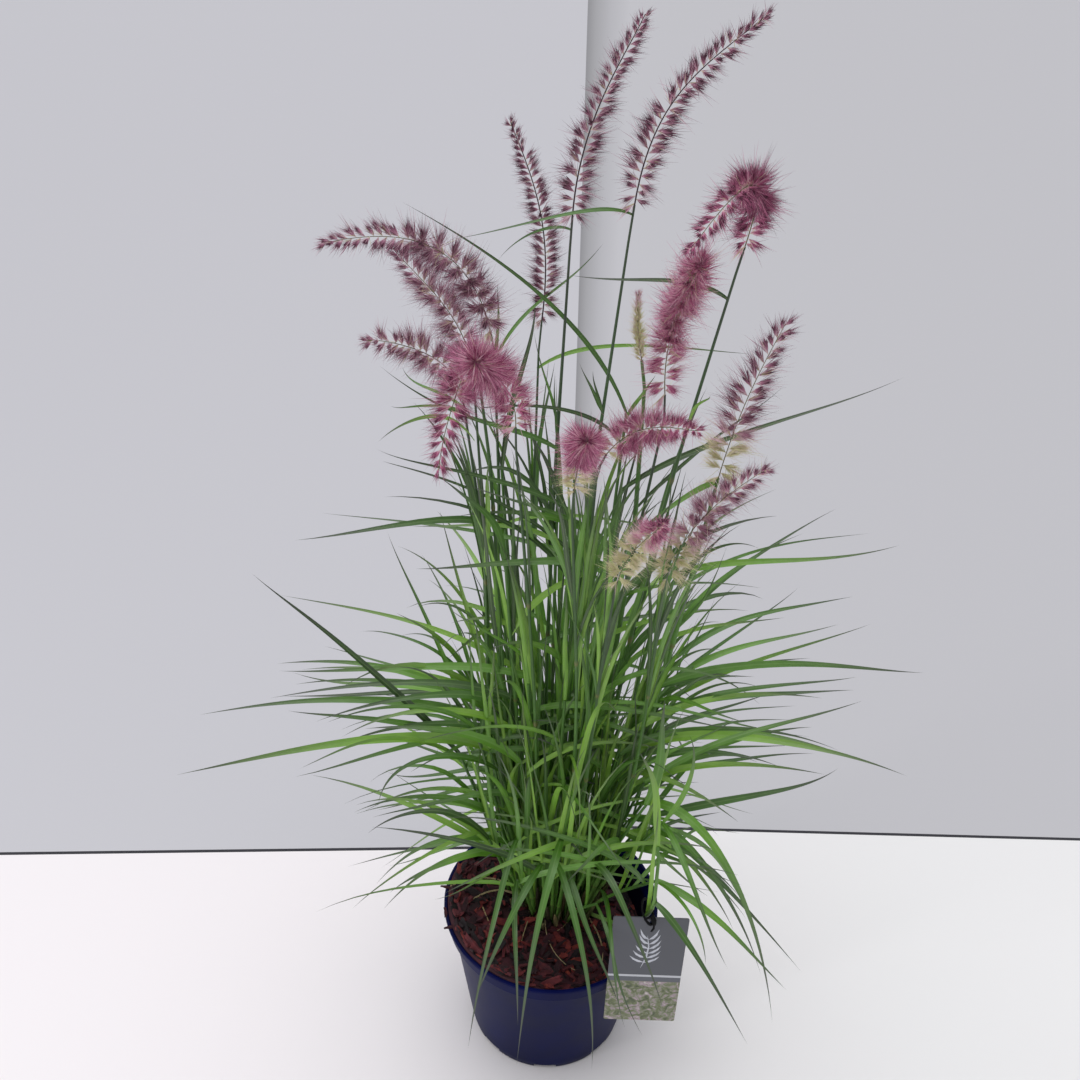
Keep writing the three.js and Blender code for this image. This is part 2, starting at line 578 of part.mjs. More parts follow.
// Flowering stem: round, tapering only where it enters its head.
function culm(curve) {
  const rings = CULM_RINGS.map((share) => {
    const centre = curve.getPoint(share);
    const tangent = curve.getTangent(share);
    const across = new THREE.Vector3(0, 1, 0).cross(tangent).normalize();
    const away = tangent.clone().cross(across);
    const ring = [];
    for (let side = 0; side < CULM_SIDES; side++) {
      const angle = (side * 2 * Math.PI) / CULM_SIDES;
      ring.push(
        centre
          .clone()
          .addScaledVector(across, CULM_RADIUS * Math.cos(angle))
          .addScaledVector(away, CULM_RADIUS * Math.sin(angle)),
      );
    }
    return ring;
  });
  return loft(rings, curve.v3);
}

// Flower head: a slim core whose cells rise to spikelets that lean towards the tip.
function headGeometry(places, scale) {
  const curve = new THREE.CubicBezierCurve3(...places);
  const length = curve.getLength();
  const steps = Math.round(length / HEAD_STEP);
  const rings = [];
  for (let step = 0; step < steps; step++) {
    const share = (GAP + (step / steps) * (length - GAP)) / length;
    const centre = curve.getPointAt(share);
    const tangent = curve.getTangentAt(share);
    const across = new THREE.Vector3(0, 1, 0.2).cross(tangent).normalize();
    const away = tangent.clone().cross(across);
    const ring = [];
    for (let side = 0; side < HEAD_SIDES; side++) {
      const angle = ((side + step * HEAD_TWIST) * 2 * Math.PI) / HEAD_SIDES;
      ring.push(
        centre
          .clone()
          .addScaledVector(across, HEAD_CORE_RADIUS * scale * Math.cos(angle))
          .addScaledVector(away, HEAD_CORE_RADIUS * scale * Math.sin(angle)),
      );
    }
    rings.push(ring);
  }
  const raise = (ring, corners) => {
    const share = (ring + 0.5) / steps;
    const middle = corners.reduce((sum, corner) => sum.add(corner), new THREE.Vector3()).divideScalar(4);
    const onAxis = curve.getPointAt(share);
    const tangent = curve.getTangentAt(share);
    const out = middle.clone().sub(onAxis);
    out.addScaledVector(tangent, -out.dot(tangent)).normalize();
    const taper = 1 - HEAD_TAPER * share * share;
    const reach = (HEAD_RADIUS - HEAD_CORE_RADIUS) * taper * scale;
    return middle.addScaledVector(out, reach).addScaledVector(tangent, HEAD_LEAN);
  };
  return loft(rings, places[3], raise);
}

// Middle of a stem a share of the way up it, on the straight run between its rings.
function placeOn(curve, rings, share) {
  const last = rings.findLastIndex((ring) => ring <= share);
  const [from, to] = [rings[last], rings[last + 1] ?? 1];
  return curve.getPoint(from).lerp(curve.getPoint(to), (share - from) / (to - from || 1));
}

// Loose shoots fill the clump evenly on all sides: the inner ones tall, the outer ones lower and leaning.
function looseShoots(parts) {
  const draw = seededDraw(LOOSE_SEED);
  const between = ([low, high]) => THREE.MathUtils.lerp(low, high, draw());
  const centre = point([...CROWN_CENTRE, 0]);
  for (let i = 0; i < LOOSE_SHOOTS; i++) {
    const spread = Math.sqrt((i + 0.5) / LOOSE_SHOOTS);
    const outward = new THREE.Vector3(Math.cos(i * TURN), Math.sin(i * TURN), 0);
    const foot = centre.clone().addScaledVector(outward, STEM_SPREAD * spread).setZ(STEM_START);
    const height = THREE.MathUtils.lerp(LOOSE_INNER_HEIGHT, LOOSE_OUTER_HEIGHT, spread);
    const collar = centre.clone().addScaledVector(outward, LOOSE_INNER_REACH + LOOSE_LEAN * spread);
    collar.setZ(height + between(LOOSE_UNEVENNESS));
    const heading = outward.clone().applyAxisAngle(UP, between(LOOSE_SWING));
    const reach = between(LOOSE_BLADE_REACH) * THREE.MathUtils.lerp(LOOSE_INNER_SHARE, 1, spread);
    const rise = between(LOOSE_BLADE_RISE);
    const corner = collar.clone().addScaledVector(heading, reach * LOOSE_CORNER_SHARE);
    corner.addScaledVector(UP, rise);
    const tip = collar.clone().addScaledVector(heading, reach);
    tip.addScaledVector(UP, rise * between(LOOSE_DROOP));
    parts.push(shoot(stemTo(collar, foot), corner, tip, LOOSE_HALF_WIDTH));
  }
}

function clumpGeometry() {
  const parts = [crownGeometry()];
  const stems = {};
  Object.entries(HEADS).forEach(([name, places], i) => {
    stems[name] = culmPath(CULMS[i], places.map(point));
    parts.push(culm(stems[name]));
  });
  for (const [name, [halfWidth, ...places]] of Object.entries(SHOOTS)) {
    const [collar, corner, tip] = places.map(point);
    stems[name] = stemTo(collar);
    parts.push(shoot(stems[name], corner, tip, halfWidth));
  }
  for (const places of UPRIGHTS) {
    const [collar, corner, tip] = places.map(point);
    parts.push(shoot(stemTo(collar), corner, tip, RISE_HALF_WIDTH));
  }
  const [tagCorner, tagTip] = TAG_SHOOT.blade.map(point);
  stems.tag_shoot = new THREE.QuadraticBezierCurve3(...TAG_SHOOT.stem.map(point));
  parts.push(shoot(stems.tag_shoot, tagCorner, tagTip, TAG_SHOOT.halfWidth));
  for (const [stem, share, halfWidth, corner, tip] of Object.values(LEAVES)) {
    const rings = stem in HEADS ? CULM_RINGS : SHOOT_RINGS;
    parts.push(leaf(placeOn(stems[stem], rings, share), point(corner), point(tip), halfWidth));
  }
  looseShoots(parts);
  return geometryOf(wasm.Manifold.union(parts.map(solid)).simplify(SMALLEST_EDGE));
}

// Hang tag: a thin card with rounded corners and a hole for the tie.
function tagGeometry() {
  const [w, h, r] = [TAG_WIDTH / 2, TAG_HEIGHT / 2, TAG_CORNER];
  const card = new THREE.Shape();
  card.moveTo(-w + r, -h);
  card.lineTo(w - r, -h);
  card.absarc(w - r, -h + r, r, -Math.PI / 2, 0, false);
  card.absarc(w - r, h - r, r, 0, Math.PI / 2, false);
  card.absarc(-w + r, h - r, r, Math.PI / 2, Math.PI, false);
  card.absarc(-w + r, -h + r, r, Math.PI, 1.5 * Math.PI, false);
  const across = TIE_SHORT_RADIUS * Math.sqrt(1 - ((TAG_CENTRE.y - TIE_CENTRE.y) / TIE_LONG_RADIUS) ** 2);
  const hole = new THREE.Path();
  hole.absarc(
    TIE_CENTRE.x + across * Math.SQRT1_2 - TAG_CENTRE.x,
    TIE_CENTRE.z - across * Math.SQRT1_2 - TAG_CENTRE.z,
    TAG_HOLE_RADIUS,
    0,
    2 * Math.PI,
    true,
  );
  card.holes.push(hole);
  return new THREE.ExtrudeGeometry(card, { depth: TAG_THICKNESS, bevelEnabled: false, curveSegments: 3 })
    .translate(0, 0, -TAG_THICKNESS / 2)
    .rotateX(Math.PI / 2);
}

// Tie: a long loop round the shoot and through the card's hole, tilted so that both cross it.
function tieGeometry() {
  return new THREE.TorusGeometry(TIE_SHORT_RADIUS, TIE_CORD_RADIUS, 5, 16)
    .scale(1, TIE_LONG_RADIUS / TIE_SHORT_RADIUS, 1)
    .rotateY(Math.PI / 4);
}

addMesh("pot", potGeometry(), MATERIALS.pot);
addMesh("potting_soil", soilGeometry(), MATERIALS.soil);
addMesh("bark_mulch", mulchGeometry(), MATERIALS.bark);
addMesh("grass_clump", clumpGeometry(), MATERIALS.grass);
for (const [name, places] of Object.entries(HEADS)) {
  const young = name === YOUNG_HEAD;
  const geometry = headGeometry(places.map(point), young ? YOUNG_SCALE : 1);
  addMesh(name, geometry, young ? MATERIALS.youngHead : MATERIALS.head);
}
addMesh("plant_tag", tagGeometry(), MATERIALS.tag).position.copy(TAG_CENTRE);
addMesh("tag_tie", tieGeometry(), MATERIALS.tie).position.copy(TIE_CENTRE);

export default group;
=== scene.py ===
# Fountain grass in a round moulded nursery pot: the looks of each piece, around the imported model.
# Sizes are written in millimetres and turned to metres by MM. The photograph looks along +Y.
import math
import random

import bmesh
import bpy
import numpy as np
from mathutils import Matrix, Vector


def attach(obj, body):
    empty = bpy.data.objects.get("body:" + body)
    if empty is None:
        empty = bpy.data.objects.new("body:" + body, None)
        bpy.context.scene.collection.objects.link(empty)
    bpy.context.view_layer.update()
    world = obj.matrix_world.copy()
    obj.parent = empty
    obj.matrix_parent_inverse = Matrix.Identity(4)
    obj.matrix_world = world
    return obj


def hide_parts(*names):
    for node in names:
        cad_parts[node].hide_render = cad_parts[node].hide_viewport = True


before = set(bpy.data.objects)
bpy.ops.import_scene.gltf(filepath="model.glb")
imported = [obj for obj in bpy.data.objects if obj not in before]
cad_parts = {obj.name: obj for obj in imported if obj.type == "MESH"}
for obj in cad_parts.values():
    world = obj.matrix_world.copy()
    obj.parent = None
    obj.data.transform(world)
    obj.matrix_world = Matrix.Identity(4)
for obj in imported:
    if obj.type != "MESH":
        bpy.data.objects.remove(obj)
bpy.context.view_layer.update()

MM = 0.001
UP = np.array([0.0, 0.0, 1.0])
SIGHT = np.array([0.0, 0.85, -0.53])
TURN = math.radians(137.5)

# Camera
CAMERA_PLACE = (-0.021, -0.648, 0.926)
CAMERA_TILT = 58
CAMERA_ROLL = 2
CAMERA_LENS = 36
CAMERA_SENSOR = 36

# Studio boards: slope and offset of the wall boards' edge and of each one's foot, the width of the dark
# joint along it, and how wide the shade beside the edge is, as a share of the distance
BOARD_EDGE = (-0.0225, -0.0105)
LEFT_SEAM = (0.0615, 0.1886)
RIGHT_SEAM = (0.011, 0.2205)
JOINT_WIDTH = 0.004
SHADE_WIDTH = 0.036

# Pot
POT_HEIGHT = 145
POT_BASE_RADIUS = 70
POT_WALL_TOP_RADIUS = 88
POT_RIM_RADIUS = 95
POT_BAND_HEIGHT = 16
POT_WALL = 1.4
RIM_LIP = 3.5
FOOT_RINGS = (9, 12)
POT_SIDES = 128
DRAIN_HOLES = 8
DRAIN_WIDTH = 20
DRAIN_HEIGHT = 5
DRAIN_DEPTH = 9

# Filling
GAP = 0.35
MULCH_LOW = 106
MULCH_HIGH = 147
MULCH_HIGH_SIDE = math.radians(205)
MULCH_STEEPNESS = 1.4
BED_DEPTH = 4
BED_RINGS = (6, 14, 24, 34, 42, 50, 58, 64, 70, 76, 83, 92)
BED_LUMP = 1.5
BED_LUMPY_RADIUS = 82
CROWN_HOLLOW = 12
CROWN_EDGE = 6
CHIP_REACH = 94
CHIP_LIFT = (-2.0, 3.0)
CHIP_TILT = 0.45
CHIP_ROLL = 0.9
CHIP_KINDS = 8
CHIP_COUNT = 1100
CHIP_SEED = 815
CHIP_LENGTH = (7, 24)
CHIP_WIDTH = (2.5, 8)
CHIP_THICKNESS = (1.2, 3.4)
CHIP_TONES = (-0.35, -0.25, -0.15, -0.08, 0.0, 0.06, 0.12, 0.18, 0.32)
# Splinters left on the pot's rim: their size and height above it, then each one's place and turn.
RIM_CHIP_SIZE = (10, 3, 1.5)
RIM_CHIP_LIFT = 0.8
RIM_CHIPS = [(-94, 8, 170), (-87, -35, 195), (-92, -20, 100)]

# Crown, where all stems start
CROWN_CENTRE = (0, 30)
CROWN_RADIUS = 44
CROWN_RIPPLE = 2
CROWN_BOTTOM = 84
CROWN_TOP = 146
STEM_START = 118
STEM_SPREAD = 38
STUB_COUNT = 260
STUB_SEED = 146
STUB_LENGTH = (16, 46)
STUB_RADIUS = (1.2, 2.4)
STRAW_LIFT = 3.5
# Dead blades and straw lying on the mulch: half width, then places seen from above (x, y).
STRAWS = [
    (0.5, [(-5, -10), (-5, -40), (5, -60), (25, -65)]),
    (0.4, [(5, -25), (15, -15), (20, 0)]),
    (0.5, [(-25, -45), (-20, -15), (-15, -5)]),
    (0.6, [(-60, -15), (-50, -40)]),
    (1.3, [(-35, 10), (-55, 15), (-75, -15)]),
    (1.1, [(-40, 20), (-60, 30), (-90, 5)]),
    (0.9, [(35, 0), (50, -25), (45, -50)]),
]

# Flowering stems
CULM_RADIUS = 1.15
CULM_BEND_HEIGHT = 0.45
CULM_NECK = 0.15
CULM_TONES = (0.15, 0.95)
SHEATHED_HEADS = ("head_young_spike", "head_right_slant")
SHEATH_WIDENING = 1.55
SHEATH_TONE = 0.4

# Leafy shoots: how far their feet spread, and where the stem bends between its foot and its top
SHOOT_RADIUS = 1.35
SHOOT_TONES = (0.1, 0.45)
# Front leaves over the pot are painted darker: painted shade at the foot of the clump.
FRONT_SHADE = 0.65
FOOT_SHARE = 0.5
BEND_OUT = 0.35
BEND_UP = 0.5
RISE_HALF_WIDTH = 1.8

# Loose shoots, which fill the clump
LOOSE_SHOOTS = 30
LOOSE_SEED = 4711
LOOSE_HALF_WIDTH = 2.1
LOOSE_INNER_HEIGHT = 360
LOOSE_OUTER_HEIGHT = 225
LOOSE_UNEVENNESS = (-35, 35)
LOOSE_INNER_REACH = 6
LOOSE_LEAN = 52
LOOSE_SWING = (-0.3, 0.3)
LOOSE_BLADE_REACH = (70, 140)
LOOSE_INNER_SHARE = 0.6
LOOSE_BLADE_RISE = (120, 200)
LOOSE_CORNER_SHARE = 0.35
LOOSE_DROOP = (0.75, 1.05)

# Leaves that fan out to both sides. Half are wide and half low: how far up a stem they start at least,
# how much they swing forwards and back, and how far they reach.
LEAF_SEED = 29
FAN_LEAVES = 112
FAN_HALF_WIDTH = (1.3, 2.9)
FAN_WIDE = (0.8, 0.35, (100, 180))
FAN_LOW = (0.6, 0.7, (60, 130))
FAN_DEPTH = 0.8
FAN_RISE = (0, 90)
FAN_DROOP = (0.2, 1.1)

# Steep leaves that fill the middle of the clump, a third of them on tall flowering stems
STEEP_LEAVES = 420
STEEP_TOP = 620
STEEP_SHARE = (0.3, 0.85)
STEEP_TALL_SHARE = (0.45, 0.75)
STEEP_TURN = (-1.3, 1.3)
STEEP_HALF_WIDTH = (0.9, 2.0)
STEEP_REACH = (8, 60)
STEEP_RISE = (110, 220)
# Negative: steep leaves are painted lighter, painted light in the clump's self-shaded middle.
STEEP_SHADE = -0.35
MIDDLE_HEADS = (
    "head_back_centre", "head_tallest_right", "head_back_left", "head_front_centre", "head_front_right",
    "head_low_front", "head_low_right", "head_left_short",
)

# Tag
TAG_SIZE = (60, 0.8, 131)
TAG_CORNER = 2
TAG_CENTRE = (77, -84, 162.5)
TAG_HOLE_RADIUS = 2.6
CARD_FIELD = 0.395
TIE_CENTRE = (74.5, -77, 226)
TIE_LONG_RADIUS = 11.5
TIE_SHORT_RADIUS = 7
TIE_CORD_RADIUS = 0.9
# The knot and the cord's two ends: half thickness, then places.
KNOT_PARTS = [
    (1.9, [(77, -86, 233), (79, -87, 228), (79, -87, 222)]),
    (0.8, [(79, -86.5, 223), (80, -88, 219), (77, -88, 216)]),
    (0.8, [(77, -86, 231), (73, -87, 231), (71, -87, 228)]),
]

# Flower heads as cubic curves: the stem's top, two control points and the tip.
HEADS = {
    "head_back_centre": [(-8, 20, 744), (-6, 22, 801), (18, 32, 832), (29, 40, 855)],
    "head_tallest_right": [(28, 0, 757), (34, 2, 818), (58, -8, 834), (90, -12, 862)],
    "head_back_left": [(-25, 60, 661), (-19, 63, 723), (-32, 49, 756), (-48, 44, 793)],
    "head_left_arch": [(-58, 20, 668), (-72, 1, 740), (-115, -15, 742), (-152, -30, 737)],
    "head_left_back_slant": [(-76, 60, 638), (-86, 61, 672), (-117, 73, 689), (-127, 72, 704)],
    "head_left_short": [(-81, -20, 655), (-91, -24, 673), (-122, -47, 687), (-127, -50, 686)],
    "head_left_front": [(-38, -60, 638), (-37, -74, 674), (-55, -111, 699), (-55, -155, 719)],
    "head_left_nodding": [(-65, -60, 685), (-70, -116, 679), (-76, -118, 664), (-78, -125, 642)],
    "head_right_nodding": [(89, -40, 746), (92, -81, 810), (66, -129, 803), (44, -150, 776)],
    "head_right_magenta": [(51, -50, 658), (46, -57, 693), (50, -80, 727), (54, -120, 761)],
    "head_young_spike": [(41, 10, 655), (37, 9, 672), (35, 7, 688), (35, 6, 701)],
    "head_right_slant": [(97, -10, 581), (105, -8, 634), (119, -2, 665), (128, 0, 687)],
    "head_front_centre": [(-2, -90, 611), (0, -112, 660), (1, -150, 672), (0, -170, 686)],
    "head_front_right": [(17, -70, 627), (33, -90, 665), (54, -124, 670), (59, -140, 679)],
    "head_low_right": [(63, -60, 532), (69, -69, 582), (93, -78, 609), (110, -86, 629)],
    "head_low_front": [(29, -80, 542), (32, -103, 585), (43, -137, 612), (43, -165, 638)],
}

# Flowering stems, in the order of the heads: where each leaves the crown, and where it bends (x, y).
CULMS = [
    ((-6, 37), (-17, 32)),
    ((7, 28), (0, 20)),
    ((-13, 56), (-23, 57)),
    ((-28, 35), (-66, 30)),
    ((-31, 50), (-80, 53)),
    ((-35, 23), (-75, 10)),
    ((-20, 10), (-4, -10)),
    ((-29, 13), (-50, -8)),
    ((33, 33), (33, 11)),
    ((22, 13), (0, -6)),
    ((18, 42), (38, 32)),
    ((37, 22), (75, 12)),
    ((-2, 2), (30, -26)),
    ((7, 7), (45, -16)),
    ((31, 10), (78, -10)),
    ((17, 0), (22, -24)),
]

# Leafy shoots seen singly: half width, then where the blade leaves its stem, its arc's corner and its tip.
SHOOTS = {
    "left_high": (1.8, (30, 0, 490), (-75, 20, 520), (-185, 45, 510)),
    "left_long_rise": (2.6, (-80, -5, 320), (-165, -25, 440), (-215, -45, 515)),
    "left_upper_arc": (2.2, (-15, 10, 375), (-110, 30, 430), (-225, 50, 430)),
    "left_level": (3.0, (-25, 0, 395), (-120, 0, 400), (-220, 5, 390)),
    "left_slant": (2.7, (-65, 40, 335), (-150, 70, 315), (-235, 95, 315)),
    "left_back_level": (2.6, (-50, 40, 330), (-145, 80, 310), (-255, 115, 270)),
    "left_farthest": (3.3, (-50, 5, 340), (-165, -5, 385), (-280, -15, 360)),
    "left_low_farthest": (3.6, (-55, -10, 330), (-170, -50, 375), (-280, -75, 355)),
    "left_bundle_top": (2.8, (-40, 0, 365), (-105, -20, 405), (-185, -35, 375)),
    "left_bundle_middle": (2.6, (-35, -5, 345), (-105, -25, 400), (-165, -40, 365)),
    "left_bundle_low": (2.8, (-30, 0, 325), (-100, -15, 380), (-175, -30, 345)),
    "left_bundle_bright": (3.4, (-30, -15, 320), (-80, -25, 375), (-150, -30, 365)),
    "left_wide_second": (3.0, (-45, 5, 345), (-140, 15, 405), (-225, 20, 385)),
    "left_wide_third": (2.7, (-45, 10, 350), (-120, 30, 390), (-215, 50, 355)),
    "left_low_second": (2.4, (-30, 0, 240), (-85, -5, 310), (-160, -10, 255)),
    "left_low_third": (2.2, (-30, 5, 220), (-90, 15, 270), (-175, 25, 215)),
    "left_low_fourth": (2.6, (-35, -10, 205), (-90, -35, 255), (-140, -55, 190)),
    "left_low_fifth": (2.2, (-25, 10, 250), (-90, 25, 300), (-150, 45, 290)),
    "left_front_arc": (1.8, (-65, -15, 355), (-120, -50, 420), (-165, -80, 415)),
    "left_back_upright": (2.0, (-65, 35, 305), (-115, 65, 395), (-145, 95, 465)),
    "left_back_short": (1.5, (-70, 50, 340), (-90, 80, 410), (-120, 110, 435)),
    "left_upright": (2.0, (-55, 15, 355), (-75, 20, 450), (-95, 30, 525)),
    "left_hook": (2.3, (-45, -5, 300), (-125, -60, 385), (-135, -70, 325)),
    "left_low": (2.0, (-35, 10, 270), (-95, 25, 245), (-160, 40, 205)),
    "left_low_wide": (2.6, (-20, 0, 265), (-80, -20, 295), (-150, -25, 265)),
    "left_low_front": (2.6, (-55, -20, 240), (-100, -55, 335), (-145, -70, 295)),
    "left_low_back": (2.6, (-5, 25, 195), (-90, 35, 180), (-190, 45, 125)),
    "left_drooping": (1.8, (-45, -5, 235), (-110, -40, 250), (-165, -60, 195)),
    "left_drooping_front": (3.0, (-45, -25, 230), (-90, -50, 255), (-130, -75, 235)),
    "left_front_cross": (2.4, (25, -30, 255), (-40, -70, 270), (-85, -95, 260)),
    "right_front_long": (2.4, (70, -10, 300), (150, -40, 390), (210, -60, 435)),
    "right_level_long": (3.3, (60, 0, 325), (165, -30, 385), (260, -50, 355)),
    "right_low_back": (2.0, (90, 35, 260), (155, 60, 270), (235, 85, 250)),
    "right_low_curl": (3.2, (80, 15, 235), (185, 25, 240), (240, 35, 280)),
    "right_back_short": (1.8, (65, 30, 300), (135, 80, 305), (220, 115, 280)),
    "right_front_rise": (1.8, (80, 0, 365), (160, -40, 430), (200, -65, 460)),
    "right_farthest": (3.0, (70, 0, 390), (185, -10, 430), (265, -20, 430)),
    "right_rise": (2.0, (70, 15, 350), (160, 20, 410), (235, 25, 440)),
    "right_back_low": (2.4, (85, 25, 375), (155, 45, 405), (225, 65, 410)),
    "right_back_level": (2.4, (80, 35, 380), (165, 70, 425), (245, 105, 410)),
    "right_bundle_top": (2.2, (55, 10, 350), (125, 20, 405), (195, 25, 405)),
    "right_bundle_middle": (2.6, (50, 0, 335), (115, -20, 415), (190, -35, 415)),
    "right_bundle_low": (2.4, (50, 0, 320), (125, -10, 385), (215, -25, 355)),
    "right_bundle_front": (2.4, (50, 0, 290), (110, -20, 365), (170, -35, 345)),
    "right_bundle_back": (2.0, (55, 10, 300), (120, 30, 335), (200, 55, 315)),
    "right_low_second": (2.2, (50, 0, 205), (110, -20, 255), (165, -40, 175)),
    "right_low_third": (2.0, (55, -10, 225), (110, -40, 270), (150, -65, 230)),
    "right_front_upright": (3.4, (70, -35, 300), (76, -50, 385), (70, -65, 435)),
    "left_level_second": (2.8, (-30, 0, 370), (-130, -5, 400), (-225, -10, 375)),
    "left_level_third": (2.6, (-40, 10, 350), (-130, 20, 385), (-215, 25, 360)),
    "left_rise_second": (2.8, (-50, -5, 325), (-140, -20, 365), (-205, -35, 385)),
    "left_low_sixth": (2.6, (-35, -5, 215), (-95, -20, 265), (-150, -30, 190)),
    "left_low_seventh": (2.8, (-40, 0, 235), (-100, -10, 300), (-165, -20, 265)),
    "right_rise_second": (2.8, (60, 5, 345), (150, 0, 395), (225, 0, 395)),
    "right_level_second": (2.8, (65, 5, 325), (150, -10, 370), (225, -20, 345)),
    "right_low_level": (2.6, (60, 0, 285), (140, -10, 335), (210, -20, 325)),
    "right_fall_second": (3.0, (60, -5, 250), (120, -50, 300), (175, -75, 150)),
    "right_fall_third": (2.6, (55, -10, 240), (110, -40, 275), (150, -60, 185)),
    "mid_bright": (2.6, (5, 5, 500), (-12, -5, 580), (-30, -12, 610)),
    "right_high_back": (1.8, (80, 20, 420), (135, 45, 490), (205, 70, 515)),
    "right_high_front": (2.2, (70, -5, 495), (150, -25, 520), (215, -45, 555)),
    "right_fall": (3.6, (60, 0, 260), (140, -60, 345), (190, -85, 100)),
    "right_fall_back": (2.8, (85, 5, 235), (125, -20, 225), (220, -45, 115)),
    "right_fall_front": (2.8, (85, -45, 225), (135, -80, 220), (190, -100, 165)),
    "right_fall_near": (2.3, (85, -35, 280), (100, -95, 275), (135, -115, 210)),
    "right_top_reach": (2.0, (35, 15, 555), (120, 30, 590), (225, 45, 635)),
    "front_left_fall": (2.2, (-30, -40, 265), (-50, -120, 255), (-65, -125, 110)),
    "front_left_second": (2.6, (-10, -45, 240), (-40, -110, 240), (-60, -115, 160)),
    "front_short_fall": (2.2, (-30, -50, 225), (-30, -110, 220), (-25, -120, 135)),
    "front_wide_fall": (2.9, (5, -40, 265), (-15, -130, 290), (-25, -140, 115)),
    "front_right_fall": (2.6, (0, -45, 245), (30, -130, 255), (35, -140, 110)),
    "front_right_short": (2.2, (10, -45, 235), (30, -100, 215), (55, -120, 165)),
    "front_tag_short": (2.6, (30, -50, 250), (55, -100, 275), (90, -120, 160)),
    "front_tag_side": (1.5, (35, -60, 212), (45, -115, 205), (75, -125, 135)),
    "top_left_diagonal": (1.5, (35, 25, 610), (-35, 30, 710), (-115, 35, 745)),
    "top_wide_upright": (2.0, (-50, 30, 560), (-30, 40, 655), (-30, 50, 680)),
    "top_left_short": (1.8, (-10, 15, 585), (-65, 10, 595), (-130, 10, 645)),
    "mid_left_short": (2.0, (0, 0, 545), (-75, -25, 580), (-125, -50, 615)),
    "mid_cross": (1.7, (30, -20, 525), (-15, -50, 575), (-70, -80, 610)),
    "mid_left_bend": (2.2, (-45, -10, 510), (-55, -40, 575), (-85, -65, 605)),
    "back_left_fall": (2.4, (-45, 70, 270), (-90, 130, 300), (-120, 165, 150)),
    "back_fall": (2.4, (5, 80, 280), (10, 140, 300), (5, 175, 130)),
    "back_right_fall": (2.4, (50, 70, 275), (105, 115, 300), (135, 150, 160)),
    "back_left_rise": (2.4, (-35, 70, 360), (-80, 120, 440), (-115, 190, 430)),
    "back_rise": (2.4, (0, 75, 380), (15, 130, 460), (20, 205, 440)),
    "back_right_rise": (2.4, (40, 70, 370), (90, 110, 450), (140, 180, 420)),
}

# Steep shoots in the middle of the clump.
UPRIGHTS = [
    ((-42, 14, 420), (-52, 8, 500), (-58, -8, 590)),
    ((-34, 38, 430), (-44, 44, 520), (-62, 52, 610)),
    ((-20, 10, 440), (-26, 2, 540), (-42, -14, 600)),
    ((-4, 42, 430), (-6, 50, 530), (-14, 64, 620)),
    ((6, 8, 450), (8, 0, 540), (20, -14, 600)),
    ((24, 14, 440), (30, 10, 530), (38, 2, 610)),
    ((28, 42, 420), (36, 48, 520), (54, 60, 600)),
    ((44, 10, 410), (56, 4, 500), (72, -6, 560)),
    ((54, 28, 420), (66, 30, 500), (80, 36, 575)),
    ((-26, -12, 400), (-32, -26, 480), (-44, -46, 540)),
    ((2, -18, 390), (2, -32, 470), (-4, -54, 520)),
    ((4, 62, 400), (6, 72, 490), (2, 94, 560)),
    ((20, -10, 420), (24, -20, 500), (34, -40, 570)),
    ((14, 20, 440), (16, 20, 540), (10, 10, 620)),
    ((26, -15, 390), (34, -30, 470), (40, -50, 540)),
    ((-50, 0, 420), (-58, -10, 510), (-66, -25, 600)),
    ((-46, 20, 430), (-56, 20, 520), (-76, 20, 600)),
]

